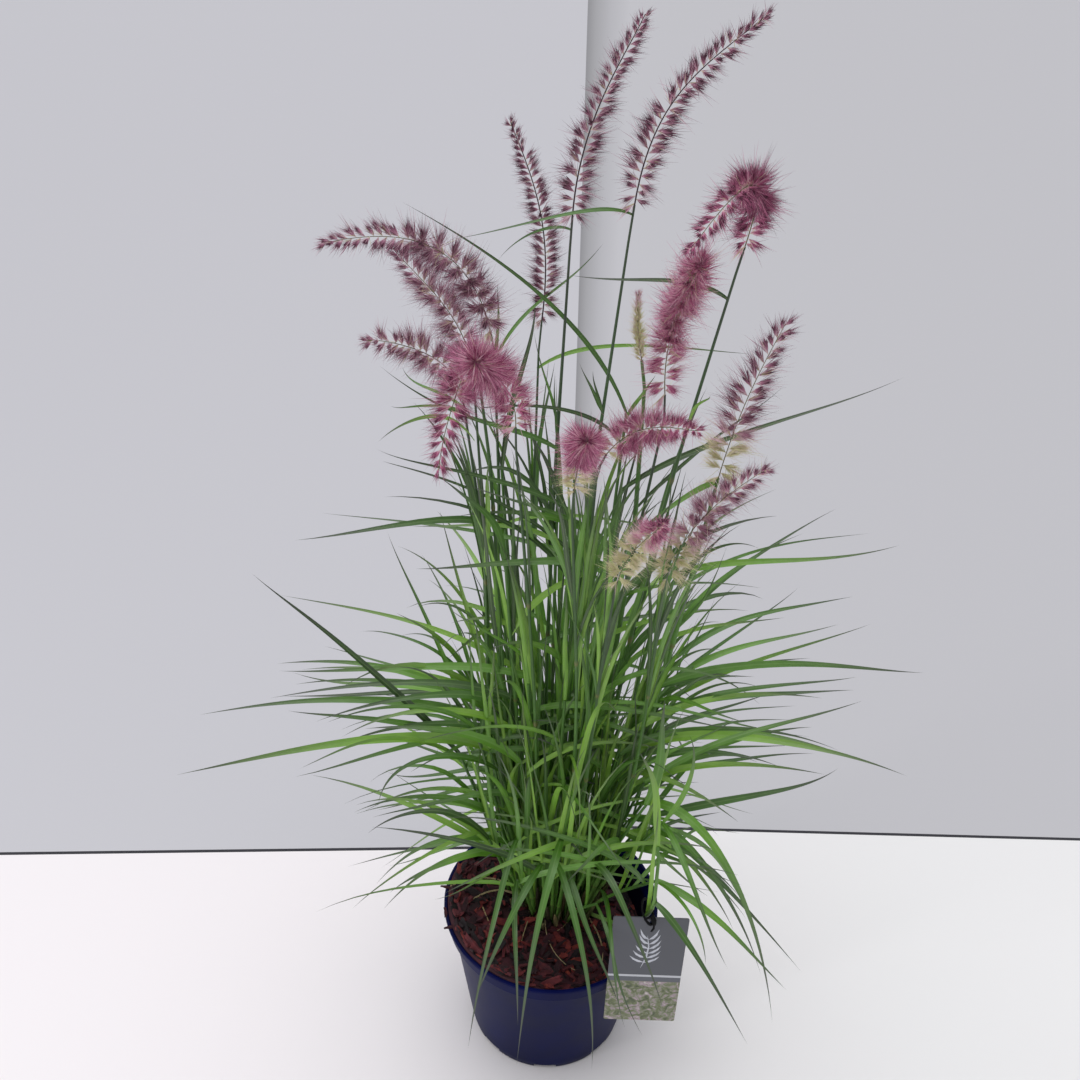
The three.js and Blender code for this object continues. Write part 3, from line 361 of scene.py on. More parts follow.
# Leaves that grow on a stem above: the stem, how far up it they start, half width, corner and tip.
LEAVES = [
    ("left_long_rise", 0.97, 1.6, (-140, -75, 405), (-185, -90, 380)),
    ("left_high", 0.97, 1.3, (-100, 0, 578), (-130, 0, 580)),
    ("left_long_rise", 0.9, 1.3, (-130, 35, 315), (-145, 50, 300)),
    ("left_back_short", 0.98, 2.0, (-95, -5, 445), (-130, 25, 435)),
    ("left_back_short", 0.97, 1.5, (-120, 55, 405), (-170, 85, 370)),
    ("head_back_centre", 0.3, 1.5, (-60, -70, 490), (-80, -75, 515)),
    ("head_left_short", 0.24, 1.8, (-105, 55, 215), (-155, 75, 220)),
    ("left_back_level", 0.5, 1.5, (-95, 45, 190), (-165, 70, 95)),
    ("left_low", 0.35, 1.8, (-50, -70, 245), (-95, -80, 235)),
    ("right_fall_near", 0.26, 1.8, (35, -130, 260), (60, -125, 145)),
    ("head_back_centre", 0.17, 1.3, (20, -100, 350), (60, -100, 285)),
    ("right_fall_near", 0.97, 1.8, (155, 5, 185), (170, -20, 165)),
    ("right_fall_front", 0.97, 1.3, (115, -115, 255), (120, -105, 200)),
    ("right_fall_near", 0.97, 2.2, (115, -35, 335), (95, -40, 380)),
    ("head_right_slant", 0.35, 1.8, (130, 45, 335), (180, 60, 340)),
    ("head_right_slant", 0.45, 1.5, (150, 85, 380), (200, 110, 415)),
    ("head_right_slant", 0.44, 1.4, (105, -50, 415), (130, -65, 415)),
    ("head_right_slant", 0.61, 1.3, (120, 30, 490), (175, 40, 510)),
    ("right_high_front", 0.93, 1.4, (135, 70, 480), (240, 85, 485)),
    ("right_high_front", 0.95, 1.3, (100, 60, 510), (160, 80, 525)),
    ("right_high_front", 0.94, 1.4, (100, -35, 560), (120, -65, 560)),
    ("head_right_slant", 0.98, 1.8, (65, -35, 575), (25, -75, 560)),
    ("head_young_spike", 0.68, 1.3, (100, 45, 575), (150, 70, 615)),
    ("head_tallest_right", 0.98, 1.3, (-25, -15, 750), (-80, -25, 740)),
    ("head_right_nodding", 0.88, 1.5, (40, -25, 720), (-10, -5, 715)),
    ("head_back_left", 0.88, 1.4, (50, 95, 635), (135, 115, 620)),
    ("head_left_short", 0.82, 1.5, (-95, -60, 655), (-120, -70, 630)),
    ("top_left_diagonal", 0.95, 1.4, (-25, -35, 645), (-70, -40, 640)),
    ("head_tallest_right", 0.68, 1.3, (10, -5, 635), (0, -10, 660)),
    ("tag_shoot", 0.7, 2.5, (107, -105, 225), (157, -132, 140)),
    ("left_low_front", 0.95, 1.2, (-105, 35, 155), (-150, 30, 145)),
    ("head_tallest_right", 0.2, 1.2, (15, -100, 405), (15, -85, 310)),
    ("right_back_level", 0.49, 1.2, (125, 85, 195), (195, 100, 155)),
    ("right_back_low", 0.48, 1.2, (105, 60, 205), (155, 70, 165)),
    ("head_low_right", 0.38, 1.2, (120, -5, 345), (130, -30, 390)),
    ("head_right_slant", 0.6, 1.0, (100, -25, 485), (105, -30, 540)),
    ("head_right_slant", 0.48, 1.0, (100, 5, 420), (110, 10, 470)),
    ("head_back_centre", 0.97, 1.0, (-40, 35, 730), (-55, 50, 705)),
    ("head_left_arch", 0.92, 1.1, (-10, 70, 685), (15, 80, 710)),
    ("head_left_arch", 0.88, 1.2, (-55, 40, 665), (-55, 50, 690)),
    ("head_left_short", 0.88, 1.0, (-100, -60, 645), (-115, -50, 645)),
    ("head_left_short", 0.89, 1.0, (-110, 10, 630), (-115, 10, 645)),
    ("head_back_centre", 0.66, 1.0, (-20, 25, 625), (-30, 30, 665)),
    ("head_back_centre", 0.64, 0.9, (-15, 15, 615), (-15, 10, 645)),
    ("head_tallest_right", 0.68, 0.9, (10, 10, 635), (10, 15, 645)),
    ("top_left_diagonal", 0.99, 1.2, (45, -5, 640), (50, 0, 650)),
    ("head_right_nodding", 0.68, 1.0, (75, -50, 655), (80, -40, 655)),
]

# The shoot that carries the tag: its stem leans out over the rim and then stands up beside the card.
TAG_STEM = [(33, 8, STEM_START), (90, -104, 200), (76, -77, 300)]
TAG_BLADE = [(70, -74, 370), (55, -70, 390)]
TAG_HALF_WIDTH = 2.8
TAG_STEM_TONES = (0.0, 0.3)

# Colours of ripe plume fibre, from the middle of its tones to the darkest
MAUVE_STOPS = [(0.55, "#b37b93"), (0.78, "#78485d"), (1.0, "#3b2932")]
MAGENTA_STOPS = [(0.55, "#cf7da1"), (0.78, "#9c4e72"), (1.0, "#4f293c")]


# Colours and nodes
def linear(code):
    """Linear colour of an sRGB hex value."""
    channels = [int(code[i:i + 2], 16) / 255 for i in (1, 3, 5)]
    return tuple(c / 12.92 if c <= 0.04045 else ((c + 0.055) / 1.055) ** 2.4 for c in channels) + (1.0,)


class Nodes:
    """A new material's nodes. Each call adds one and gives its output."""

    def __init__(self, name):
        self.material = bpy.data.materials.new(name)
        self.material.use_nodes = True
        self.tree = self.material.node_tree
        self.tree.nodes.clear()

    def add(self, kind, output, inputs=None, **settings):
        """A node with its settings. An input is a value, a hex colour or another node's output."""
        made = self.tree.nodes.new("ShaderNode" + kind)
        for name, value in settings.items():
            setattr(made, name, value)
        for name, value in (inputs or {}).items():
            if isinstance(value, bpy.types.NodeSocket):
                self.tree.links.new(value, made.inputs[name])
            else:
                made.inputs[name].default_value = linear(value) if isinstance(value, str) else value
        return made.outputs[output]

    def place(self):
        return self.add("TexCoord", "Object")

    def uv(self):
        return self.add("UVMap", "UV", uv_map="UVMap")

    def tone(self):
        return self.add("Attribute", "Fac", attribute_name="tone")

    def axes(self, vector):
        return self.add("SeparateXYZ", "X", {"Vector": vector}).node.outputs

    def stretched(self, vector, scale):
        return self.add("Mapping", "Vector", {"Vector": vector, "Scale": scale})

    def noise(self, vector, scale, detail, more=None):
        inputs = {"Vector": vector, "Scale": scale, "Detail": detail}
        return self.add("TexNoise", "Fac", inputs | (more or {}))

    def maths(self, operation, *values):
        return self.add("Math", 0, dict(enumerate(values)), operation=operation)

    def ranged(self, value, low, high, to_low, to_high):
        """The value, clamped between low and high, as a value between two others."""
        limits = {"From Min": low, "From Max": high, "To Min": to_low, "To Max": to_high}
        return self.add("MapRange", "Result", {"Value": value, **limits})

    def uneven_tone(self, vector, scale, detail, swing):
        """The tone of each point, lighter and darker in a fine cloud."""
        cloud = self.noise(vector, scale, detail)
        return self.maths("ADD", self.tone(), self.ranged(cloud, 0, 1, -swing, swing))

    def mix(self, share, first, second):
        return self.add("MixRGB", "Color", {"Fac": share, "Color1": first, "Color2": second})

    def ramp(self, value, *stops, steps=False):
        """A colour for each value, between stops of a place and a colour, or in steps."""
        colour = self.add("ValToRGB", "Color", {"Fac": value})
        ramp = colour.node.color_ramp
        while len(ramp.elements) < len(stops):
            ramp.elements.new(1.0)
        for element, (place, code) in zip(ramp.elements, stops):
            element.position = place
            element.color = linear(code)
        if steps:
            ramp.interpolation = "CONSTANT"
        return colour

    def bump(self, height, strength, distance):
        return self.add("Bump", "Normal", {"Height": height, "Strength": strength, "Distance": distance})

    def surface(self, colour, roughness, more=None):
        """Ends the nodes in a surface, and gives the material."""
        inputs = {"Base Color": colour, "Roughness": roughness}
        shader = self.add("BsdfPrincipled", 0, inputs | (more or {}))
        output = self.tree.nodes.new("ShaderNodeOutputMaterial")
        self.tree.links.new(shader, output.inputs["Surface"])
        return self.material


# Copied shapes
SMALLEST_SCALE = 1e-3


def alone(model):
    """Makes the model the only selected object."""
    bpy.ops.object.select_all(action="DESELECT")
    model.select_set(True)
    bpy.context.view_layer.objects.active = model
    return model


def started(add, **settings):
    """A new primitive, alone in the selection."""
    bpy.ops.object.select_all(action="DESELECT")
    add(**settings)
    return bpy.context.object


def cut_out(model, cutter):
    """Cuts the cutter's form out of a model and takes the cutter away."""
    alone(model)
    cut = model.modifiers.new("cut", "BOOLEAN")
    cut.operation = "DIFFERENCE"
    cut.object = cutter
    bpy.ops.object.modifier_apply(modifier=cut.name)
    bpy.data.objects.remove(cutter)


class Shape:
    """Points, triangles and UVs of a modelled shape. The model itself is taken away."""

    def __init__(self, model, uv_of):
        mesh = model.data
        mesh.calc_loop_triangles()
        points = np.empty(len(mesh.vertices) * 3)
        mesh.vertices.foreach_get("co", points)
        faces = np.empty(len(mesh.loop_triangles) * 3, dtype=np.int64)
        mesh.loop_triangles.foreach_get("vertices", faces)
        self.points = points.reshape(-1, 3)
        self.faces = faces.reshape(-1, 3)
        self.uvs = np.array([uv_of(*point) for point in self.points])
        bpy.data.objects.remove(model)
        bpy.data.meshes.remove(mesh)


def drawn_out(section, rings):
    """A closed shape: a flat section drawn out along +Z, each ring at a height with its own scale."""
    model = started(bpy.ops.mesh.primitive_circle_add, vertices=len(section), radius=1, fill_type="NGON")
    for vertex, (x, y) in zip(model.data.vertices, section):
        vertex.co = (x, y, 0)
    bpy.ops.object.mode_set(mode="EDIT")
    bpy.ops.mesh.select_all(action="SELECT")
    height, scale = rings[0]
    bpy.ops.transform.resize(value=(scale, scale, 1), center_override=(0, 0, 0))
    for next_height, next_scale in rings[1:]:
        step = {"value": (0, 0, next_height - height)}
        bpy.ops.mesh.extrude_region_move(TRANSFORM_OT_translate=step)
        next_scale = max(next_scale, SMALLEST_SCALE)
        ratio = next_scale / scale
        bpy.ops.transform.resize(value=(ratio, ratio, 1), center_override=(0, 0, next_height))
        height, scale = next_height, next_scale
    if rings[-1][1] == 0:
        bpy.ops.mesh.merge(type="CENTER")
    bpy.ops.mesh.select_all(action="SELECT")
    bpy.ops.mesh.normals_make_consistent(inside=False)
    bpy.ops.object.mode_set(mode="OBJECT")
    return model


def round_section(sides):
    """Corners of a regular polygon, one unit from its middle."""
    return [(math.cos(2 * math.pi * i / sides), math.sin(2 * math.pi * i / sides)) for i in range(sides)]


def unit(rows):
    return rows / np.linalg.norm(rows, axis=-1, keepdims=True)


def bezier(places, shares):
    """Points and headings of a Bezier curve at the given shares, all in metres."""
    rows = [np.array(place, float) * MM for place in places]
    s = np.asarray(shares, float)[:, None]
    while len(rows) > 2:
        rows = [a + (b - a) * s for a, b in zip(rows, rows[1:])]
    return rows[0] + (rows[1] - rows[0]) * s, unit(rows[1] - rows[0])


def side_of(places):
    """Level direction square to the way from the first place to the last."""
    heading = np.array(places[-1], float) - np.array(places[0], float)
    heading[2] = 0
    if np.linalg.norm(heading) < 1:
        heading = np.array([1.0, 0, 0])
    return unit(np.cross(UP, heading))


def shown_side(places, share):
    """Side direction of a blade: level at share 0, square to the photograph's line of sight at 1."""
    level = side_of(places)
    seen = np.cross(SIGHT, np.array(places[-1], float) - np.array(places[0], float))
    if np.linalg.norm(seen) < 1:
        return level
    seen = unit(seen)
    if seen @ level < 0:
        seen = -seen
    return unit(level * (1 - share) + seen * share)


def laid_along(shape, places, width, side=None, twist=0.0, sway=0.0, phase=0.0, gamma=1.0):
    """The shape's points with its height laid along a curve and its section scaled to a width."""
    share = np.clip(shape.points[:, 2], 0, 1) ** gamma
    points, heading = bezier(places, share)
    side = side_of(places) if side is None else side
    normal = unit(np.cross(heading, side))
    across = np.cross(normal, heading)
    turn = twist * share
    x = shape.points[:, 0] * width * MM
    y = shape.points[:, 1] * width * MM
    u = x * np.cos(turn) - y * np.sin(turn)
    v = x * np.sin(turn) + y * np.cos(turn)
    swing = sway * MM * np.sin(math.pi * share) * np.sin(5 * share + phase)
    return points + across * (u + swing)[:, None] + normal * (v + 0.6 * swing)[:, None]


def planted(shape, roots, headings, lengths, radii):
    """One row of points for each root: the shape's height along the heading, its section scaled."""
    headings = unit(headings)
    helper = np.where(np.abs(headings[:, 2:3]) > 0.9, [[1.0, 0, 0]], [[0, 0, 1.0]])
    across = unit(np.cross(helper, headings))
    away = np.cross(headings, across)
    x, y, z = shape.points.T
    return (
        roots[:, None]
        + headings[:, None] * (lengths[:, None] * z)[..., None]
        + across[:, None] * (radii[:, None] * x)[..., None]
        + away[:, None] * (radii[:, None] * y)[..., None]
    )


class Bunch:
    """Copies of shapes gathered as one mesh, with UVs and a tone for each point."""

    def __init__(self):
        self.points = []
        self.faces = []
        self.uvs = []
        self.tones = []
        self.count = 0

    def add(self, shape, points, tones):
        """Adds one copy for each row of points. A tone is one for each copy or for each point."""
        rows = points.reshape(-1, len(shape.points), 3)
        first = self.count + np.arange(len(rows))[:, None, None] * len(shape.points)
        self.points.append(rows.reshape(-1, 3))
        self.faces.append((shape.faces[None] + first).reshape(-1, 3))
        self.uvs.append(np.tile(shape.uvs, (len(rows), 1)))
        tones = np.asarray(tones, float).reshape(-1, 1) if np.ndim(tones) < 2 else tones
        self.tones.append(np.broadcast_to(tones, rows.shape[:2]).reshape(-1))
        self.count += len(rows) * len(shape.points)

    def make(self, name, material, slot, *nodes, crease=60):
        """Makes the mesh a finished piece, smooth but for edges sharper than the crease."""
        points = np.concatenate(self.points)
        faces = np.concatenate(self.faces)
        uvs = np.concatenate(self.uvs)[faces.ravel()]
        mesh = bpy.data.meshes.new(name)
        mesh.vertices.add(len(points))
        mesh.vertices.foreach_set("co", points.ravel())
        mesh.loops.add(faces.size)
        mesh.loops.foreach_set("vertex_index", faces.ravel())
        mesh.polygons.add(len(faces))
        mesh.polygons.foreach_set("loop_start", np.arange(0, faces.size, 3))
        mesh.polygons.foreach_set("use_smooth", np.ones(len(faces), dtype=bool))
        mesh.update(calc_edges=True)
        mesh.uv_layers.new(name="UVMap").data.foreach_set("uv", uvs.ravel())
        tone = mesh.attributes.new("tone", "FLOAT", "POINT")
        tone.data.foreach_set("value", np.concatenate(self.tones))
        mesh.set_sharp_from_angle(angle=math.radians(crease))
        model = bpy.data.objects.new(name, mesh)
        bpy.context.collection.objects.link(model)
        return finished(model, material, slot, *nodes)


def finished(model, material, slot, *nodes):
    """Gives a piece its material and its body, and hides the nodes it stands for; its slot is not used."""
    model.data.materials.clear()
    model.data.materials.append(material)
    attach(model, "root")
    if nodes:
        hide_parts(*nodes)
    return model


def seeded_draw(seed):
    """Seeded draw between 0 and 1, the same on every machine."""
    state = seed

    def draw():
        nonlocal state
        state = (state * 16807) % 2147483647
        return state / 2147483647

    return draw


def lerp(a, b, share):
    return a + (b - a) * share


# Materials
def moulded_polypropylene():
    """Nursery pot of injection-moulded polypropylene: an even navy satin, its inner wall painted near-black
    as painted shade inside the pot.
    """
    nodes = Nodes("moulded polypropylene, navy")
    place = nodes.place()
    cloud = nodes.noise(place, 28.0, 4.0)
    grain = nodes.noise(place, 900.0, 2.0)
    level = nodes.add("VectorMath", "Vector", {0: place, 1: (1.0, 1.0, 0.0)}, operation="MULTIPLY")
    radius = nodes.add("VectorMath", "Value", {0: level}, operation="LENGTH")
    slope = wall_radius(1) - wall_radius(0)
    wall = nodes.maths("MULTIPLY_ADD", nodes.axes(place)["Z"], slope, wall_radius(0) * MM)
    # Painted shade: the wall's inner face is mixed towards near-black, the shade inside the pot.
    painted_inner_shade = nodes.ranged(nodes.maths("SUBTRACT", radius, wall), 0.0003, 0.001, 0.8, 0)
    navy = nodes.ramp(cloud, (0.3, "#040a36"), (0.55, "#060d3e"), (0.75, "#0a1245"))
    return nodes.surface(nodes.mix(painted_inner_shade, navy, "#0c0610"), nodes.ranged(cloud, 0, 1, 0.34, 0.46), {
        "Normal": nodes.bump(grain, 0.05, 0.0003), "IOR": 1.49, "Specular IOR Level": 0.05,
    })


def compost():
    """Peat compost: nearly black, crumbly, with pale root threads."""
    nodes = Nodes("peat compost")
    crumb = nodes.noise(nodes.place(), 320.0, 6.0, {"Roughness": 0.7})
    colour = nodes.ramp(crumb, (0.35, "#120d0b"), (0.55, "#241a14"), (0.72, "#4a3626"))
    return nodes.surface(colour, 0.95, {"Normal": nodes.bump(crumb, 0.9, 0.002)})


def conifer_bark():
    """Chipped conifer bark: red-brown, fibrous along each chip, dull with dark ends."""
    nodes = Nodes("chipped conifer bark")
    fibre = nodes.noise(nodes.stretched(nodes.uv(), (3.0, 22.0, 1.0)), 1.6, 5.0)
    mixed = nodes.maths("ADD", fibre, nodes.noise(nodes.place(), 160.0, 4.0))
    colour = nodes.ramp(
        nodes.maths("MULTIPLY_ADD", mixed, 0.45, nodes.tone()),
        (0.2, "#12050a"), (0.45, "#3d121d"), (0.7, "#672024"), (0.88, "#8b3629"), (1.0, "#b5643a"),
    )
    return nodes.surface(colour, 0.8, {"Normal": nodes.bump(mixed, 0.7, 0.001)})


def grass_leaf():
    """Living grass blade: satin green, a paler midrib, fine veins along it and a drying tip."""
    nodes = Nodes("living grass blade")
    axes = nodes.axes(nodes.uv())
    green = nodes.ramp(
        nodes.uneven_tone(nodes.place(), 45.0, 3.0, 0.14),
        (0.0, "#2a4812"), (0.3, "#44731c"), (0.6, "#639928"), (0.85, "#8cba40"), (1.0, "#b6c766"),
    )
    off_middle = nodes.maths("ABSOLUTE", nodes.maths("SUBTRACT", axes["X"], 0.5))
    ribbed = nodes.mix(nodes.ranged(off_middle, 0.03, 0.1, 0.2, 0), green, "#93b570")
    tipped = nodes.mix(nodes.ranged(axes["Y"], 0.45, 0.9, 0, 0.9), ribbed, "#3f413d")
    veins = nodes.maths("SINE", nodes.maths("MULTIPLY", axes["X"], 75.0))
    bump = nodes.bump(veins, 0.25, 0.0002)
    return nodes.surface(tipped, 0.38, {"Normal": bump, "Specular IOR Level": 0.75})


def grass_stem():
    """Living grass stem: smooth green sheath below, olive to purple-grey above, tan at the nodes."""
    nodes = Nodes("living grass stem")
    colour = nodes.ramp(
        nodes.uneven_tone(nodes.place(), 60.0, 3.0, 0.12),
        (0.0, "#80a456"), (0.25, "#568532"), (0.5, "#42682a"), (0.75, "#34502c"), (1.0, "#353f33"),
    )
    return nodes.surface(nodes.mix(nodes.axes(nodes.uv())["X"], colour, "#6d6c3c"), 0.45)


def dry_sheath():
    """Old leaf sheaths and straw: dull tan to grey-brown, papery."""
    nodes = Nodes("dry grass sheath")
    colour = nodes.ramp(
        nodes.uneven_tone(nodes.stretched(nodes.place(), (1.0, 1.0, 0.12)), 600.0, 3.0, 0.2),
        (0.0, "#1f1a12"), (0.3, "#3c3520"), (0.55, "#5a6134"), (0.8, "#94805a"), (1.0, "#bfae88"),
    )
    return nodes.surface(colour, 0.8)


def plume_fibre(name, ripe):
    """Silky plume of bristles and spikelets: olive to cream stalks, pink to purple fibre, dark tips."""
    nodes = Nodes(name)
    share = nodes.uneven_tone(nodes.place(), 350.0, 2.0, 0.08)
    colour = nodes.ramp(share, (0.0, "#696542"), (0.14, "#d0d096"), (0.3, "#e6ccd2"), *ripe)
    return nodes.surface(colour, 0.6, {"Specular IOR Level": 0.3, "Sheen Weight": 0.08})


def printed_card():
    """Printed plastic card: slate panel above a pale line, a soft mottled green field below."""
    nodes = Nodes("printed polystyrene card")
    place = nodes.place()
    low, high = ((TAG_CENTRE[2] + way * TAG_SIZE[2] / 2) * MM for way in (-1, 1))
    rise = nodes.ranged(nodes.axes(place)["Z"], low, high, 0, 1)
    bands = nodes.ramp(
        rise, (0.0, "#6a6b60"), (CARD_FIELD, "#565a62"), (0.44, "#c3c6cc"), (0.46, "#4b4e56"), steps=True,
    )
    field = nodes.ramp(
        nodes.noise(place, 150.0, 5.0, {"Distortion": 1.5}),
        (0.3, "#3f4a30"), (0.45, "#69734a"), (0.55, "#8b8a7c"), (0.62, "#a58f9a"), (0.75, "#c9c8bf"),
    )
    below = nodes.maths("LESS_THAN", rise, CARD_FIELD)
    return nodes.surface(nodes.mix(below, bands, field), 0.35, {"Coat Weight": 0.2})


def card_ink():
    """Pale ink of the card's plain sprig, a little raised."""
    nodes = Nodes("pale printing ink")
    wear = nodes.noise(nodes.place(), 260.0, 2.0)
    return nodes.surface(nodes.ramp(wear, (0.3, "#b4b8c2"), (0.7, "#d3d6de")), 0.5)


def elastic_cord():
    """Black elastic cord with a woven cover: dull, with a fine slanting weave."""
    nodes = Nodes("black elastic cord")
    weave = nodes.add("TexWave", "Fac", {"Vector": nodes.place(), "Scale": 420.0, "Distortion": 2.0})
    return nodes.surface(nodes.ramp(weave, (0.2, "#050506"), (0.8, "#121316")), 0.7, {
        "Normal": nodes.bump(weave, 0.6, 0.0003), "Specular IOR Level": 0.15,
    })


def painted_boards():
    """Matt painted boards: a white one underfoot and two pale grey ones behind, with dark joints between; the
    floor carries painted light, lighter to the left, and the right board a painted shadow beside the left
    board's edge.
    """
    nodes = Nodes("matt painted boards")
    place = nodes.place()
    axes = nodes.axes(place)
    edge = nodes.maths("ADD", axes["X"], nodes.maths("MULTIPLY_ADD", axes["Y"], *BOARD_EDGE))
    right = nodes.maths("GREATER_THAN", edge, 0.0)
    left_seam = nodes.maths("MULTIPLY_ADD", axes["X"], *LEFT_SEAM)
    seam_step = nodes.maths("SUBTRACT", nodes.maths("MULTIPLY_ADD", axes["X"], *RIGHT_SEAM), left_seam)
    seam = nodes.maths("MULTIPLY_ADD", seam_step, right, left_seam)
    behind = nodes.maths("SUBTRACT", axes["Y"], seam)
    # Painted light: the floor is lighter to the left, where the light falls, and greyer to the right.
    floor = nodes.ramp(nodes.ranged(axes["X"], -0.25, 0.35, 0, 1), (0.0, "#eeeaeb"), (1.0, "#e8e8e7"))
    # Painted shadow: the right board darkens towards the left board's edge, the shadow that edge casts on it.
    from_edge = nodes.maths("DIVIDE", edge, nodes.maths("SUBTRACT", axes["Y"], CAMERA_PLACE[1]))
    shaded = nodes.ranged(from_edge, 0, SHADE_WIDTH, 0, 1)
    shadowed_right_wall = nodes.ramp(shaded, (0.0, "#8c8c8e"), (0.2, "#a0a0a2"), (0.55, "#b2b2b5"), (1.0, "#bebec1"))
    wall = nodes.mix(right, "#c2c2c6", shadowed_right_wall)
    joint = nodes.mix(nodes.maths("GREATER_THAN", behind, JOINT_WIDTH), "#3a3a3e", wall)
    colour = nodes.mix(nodes.maths("GREATER_THAN", behind, 0.0), floor, joint)
    fleck = nodes.noise(place, 90.0, 4.0)
    return nodes.surface(colour, 0.85, {"Normal": nodes.bump(fleck, 0.05, 0.001), "Specular IOR Level": 0.2})


# Stage
def photograph_camera():
    """The photograph's own view, fitted to the pot's rim, its base and the tag."""
    data = bpy.data.cameras.new("camera")
    data.lens = CAMERA_LENS
    data.sensor_width = CAMERA_SENSOR
    camera = bpy.data.objects.new("camera", data)
    bpy.context.collection.objects.link(camera)
    tilt = Matrix.Rotation(math.radians(CAMERA_TILT), 4, "X")
    roll = Matrix.Rotation(math.radians(CAMERA_ROLL), 4, "Z")
    camera.matrix_world = Matrix.Translation(CAMERA_PLACE) @ tilt @ roll
    bpy.context.scene.camera = camera


def lamp(name, kind, place, target, colour, **settings):
    """A light at a place, turned to a target."""
    data = bpy.data.lights.new(name, kind)
    data.color = linear(colour)[:3]
    for setting, value in settings.items():
        setattr(data, setting, value)
    light = bpy.data.objects.new(name, data)
    bpy.context.collection.objects.link(light)
    light.location = place
    light.rotation_euler = (Vector(target) - Vector(place)).to_track_quat("-Z", "Y").to_euler()


def studio():
    """Boards underfoot and behind, an even pale sky, a wide sun and one window to the left."""
    floor = started(bpy.ops.mesh.primitive_plane_add, size=60)
    floor.name = "studio_floor"
    floor.data.materials.append(painted_boards())
    world = bpy.data.worlds.new("pale studio")
    world.use_nodes = True
    background = world.node_tree.nodes["Background"]
    background.inputs["Color"].default_value = linear("#f4f4f8")
    background.inputs["Strength"].default_value = 0.52
    bpy.context.scene.world = world
    bpy.context.scene.view_settings.view_transform = "Standard"
    lamp("sky", "SUN", (-0.25, 0.25, 2.0), (0, 0, 0), "#fdfcff", angle=math.radians(70), energy=1.85)
    lamp("window_left", "AREA", (-1.6, -0.9, 0.5), (0, 0, 0.1), "#ffffff", shape="DISK", size=0.2, energy=5)


# Pot
def wall_radius(height):
    """Inner radius of the pot's wall at a height."""
    slope = (POT_WALL_TOP_RADIUS - POT_BASE_RADIUS) / (POT_HEIGHT - POT_BAND_HEIGHT)
    return POT_BASE_RADIUS - POT_WALL + slope * height


def filling_radius(height):
    """How far the mulch reaches at a height: to the wall, and out under the rim."""
    return wall_radius(height) + 0.25 * max(0, min(12, height - 132)) - GAP


def moulded_pot(material):
    """The pot: a disc drawn up its outside, over the rim and down inside, with holes cut round its foot."""
    band = POT_HEIGHT - POT_BAND_HEIGHT
    lip = POT_HEIGHT - RIM_LIP
    outside = [(wall_radius(height) + POT_WALL, height) for height in FOOT_RINGS]
    inside = [(wall_radius(height), height) for height in (*reversed(FOOT_RINGS), POT_WALL + 1)]
    profile = [
        (POT_BASE_RADIUS - 2.4, 0), (POT_BASE_RADIUS - 0.8, 0.5), (POT_BASE_RADIUS, 2), *outside,
        (POT_WALL_TOP_RADIUS - 0.3, band - 2), (POT_WALL_TOP_RADIUS + 0.6, band - 0.4),
        (POT_RIM_RADIUS - 3.6, band), (POT_RIM_RADIUS - 3, band + 0.6),
        (POT_RIM_RADIUS - 1.4, lip - 0.4), (POT_RIM_RADIUS - 0.5, lip), (POT_RIM_RADIUS, lip + 0.7),
        (POT_RIM_RADIUS, POT_HEIGHT - 0.9), (POT_RIM_RADIUS - 0.8, POT_HEIGHT),
        (POT_RIM_RADIUS - 2.3, POT_HEIGHT), (POT_RIM_RADIUS - 3.2, POT_HEIGHT - 0.9),
        (wall_radius(band) + 1.6, band + RIM_LIP), (wall_radius(band), band - 1), *inside,
        (wall_radius(POT_WALL) - 1.2, POT_WALL),
    ]
    pot = drawn_out(round_section(POT_SIDES), [(height * MM, radius * MM) for radius, height in profile])
    for i in range(DRAIN_HOLES):
        cutter = started(bpy.ops.mesh.primitive_cube_add, size=1)
        cutter.matrix_world = (
            Matrix.Rotation(i * 2 * math.pi / DRAIN_HOLES, 4, "Z")
            @ Matrix.Translation((0, -POT_BASE_RADIUS * MM, 0))
            @ Matrix.Diagonal((DRAIN_WIDTH * MM, DRAIN_DEPTH * 2 * MM, DRAIN_HEIGHT * 2 * MM, 1))
        )
        cut_out(pot, cutter)
    bpy.ops.object.shade_smooth_by_angle(angle=math.radians(28))
    pot.name = "moulded_pot"
    return finished(pot, material, "pot_plastic", "pot")


# Filling
def mulch_top(x, y):
    """Top of the mulch in millimetres: highest at the front left, lowest at the back right."""
    towards_high = (x * math.cos(MULCH_HIGH_SIDE) + y * math.sin(MULCH_HIGH_SIDE)) / POT_RIM_RADIUS
    return lerp(MULCH_LOW, MULCH_HIGH, 0.5 + 0.5 * max(-1, min(1, towards_high * MULCH_STEEPNESS)))


def crown_radius(angle):
    """The crown's outline seen from above: a circle with a few swellings."""
    return CROWN_RADIUS + CROWN_RIPPLE * math.sin(3 * angle + 1) * math.cos(2 * angle)


def from_crown(x, y):
    """Distance of a place from the crown's edge in millimetres, below nought inside it."""
    x, y = x - CROWN_CENTRE[0], y - CROWN_CENTRE[1]
    return math.hypot(x, y) - crown_radius(math.atan2(y, x))


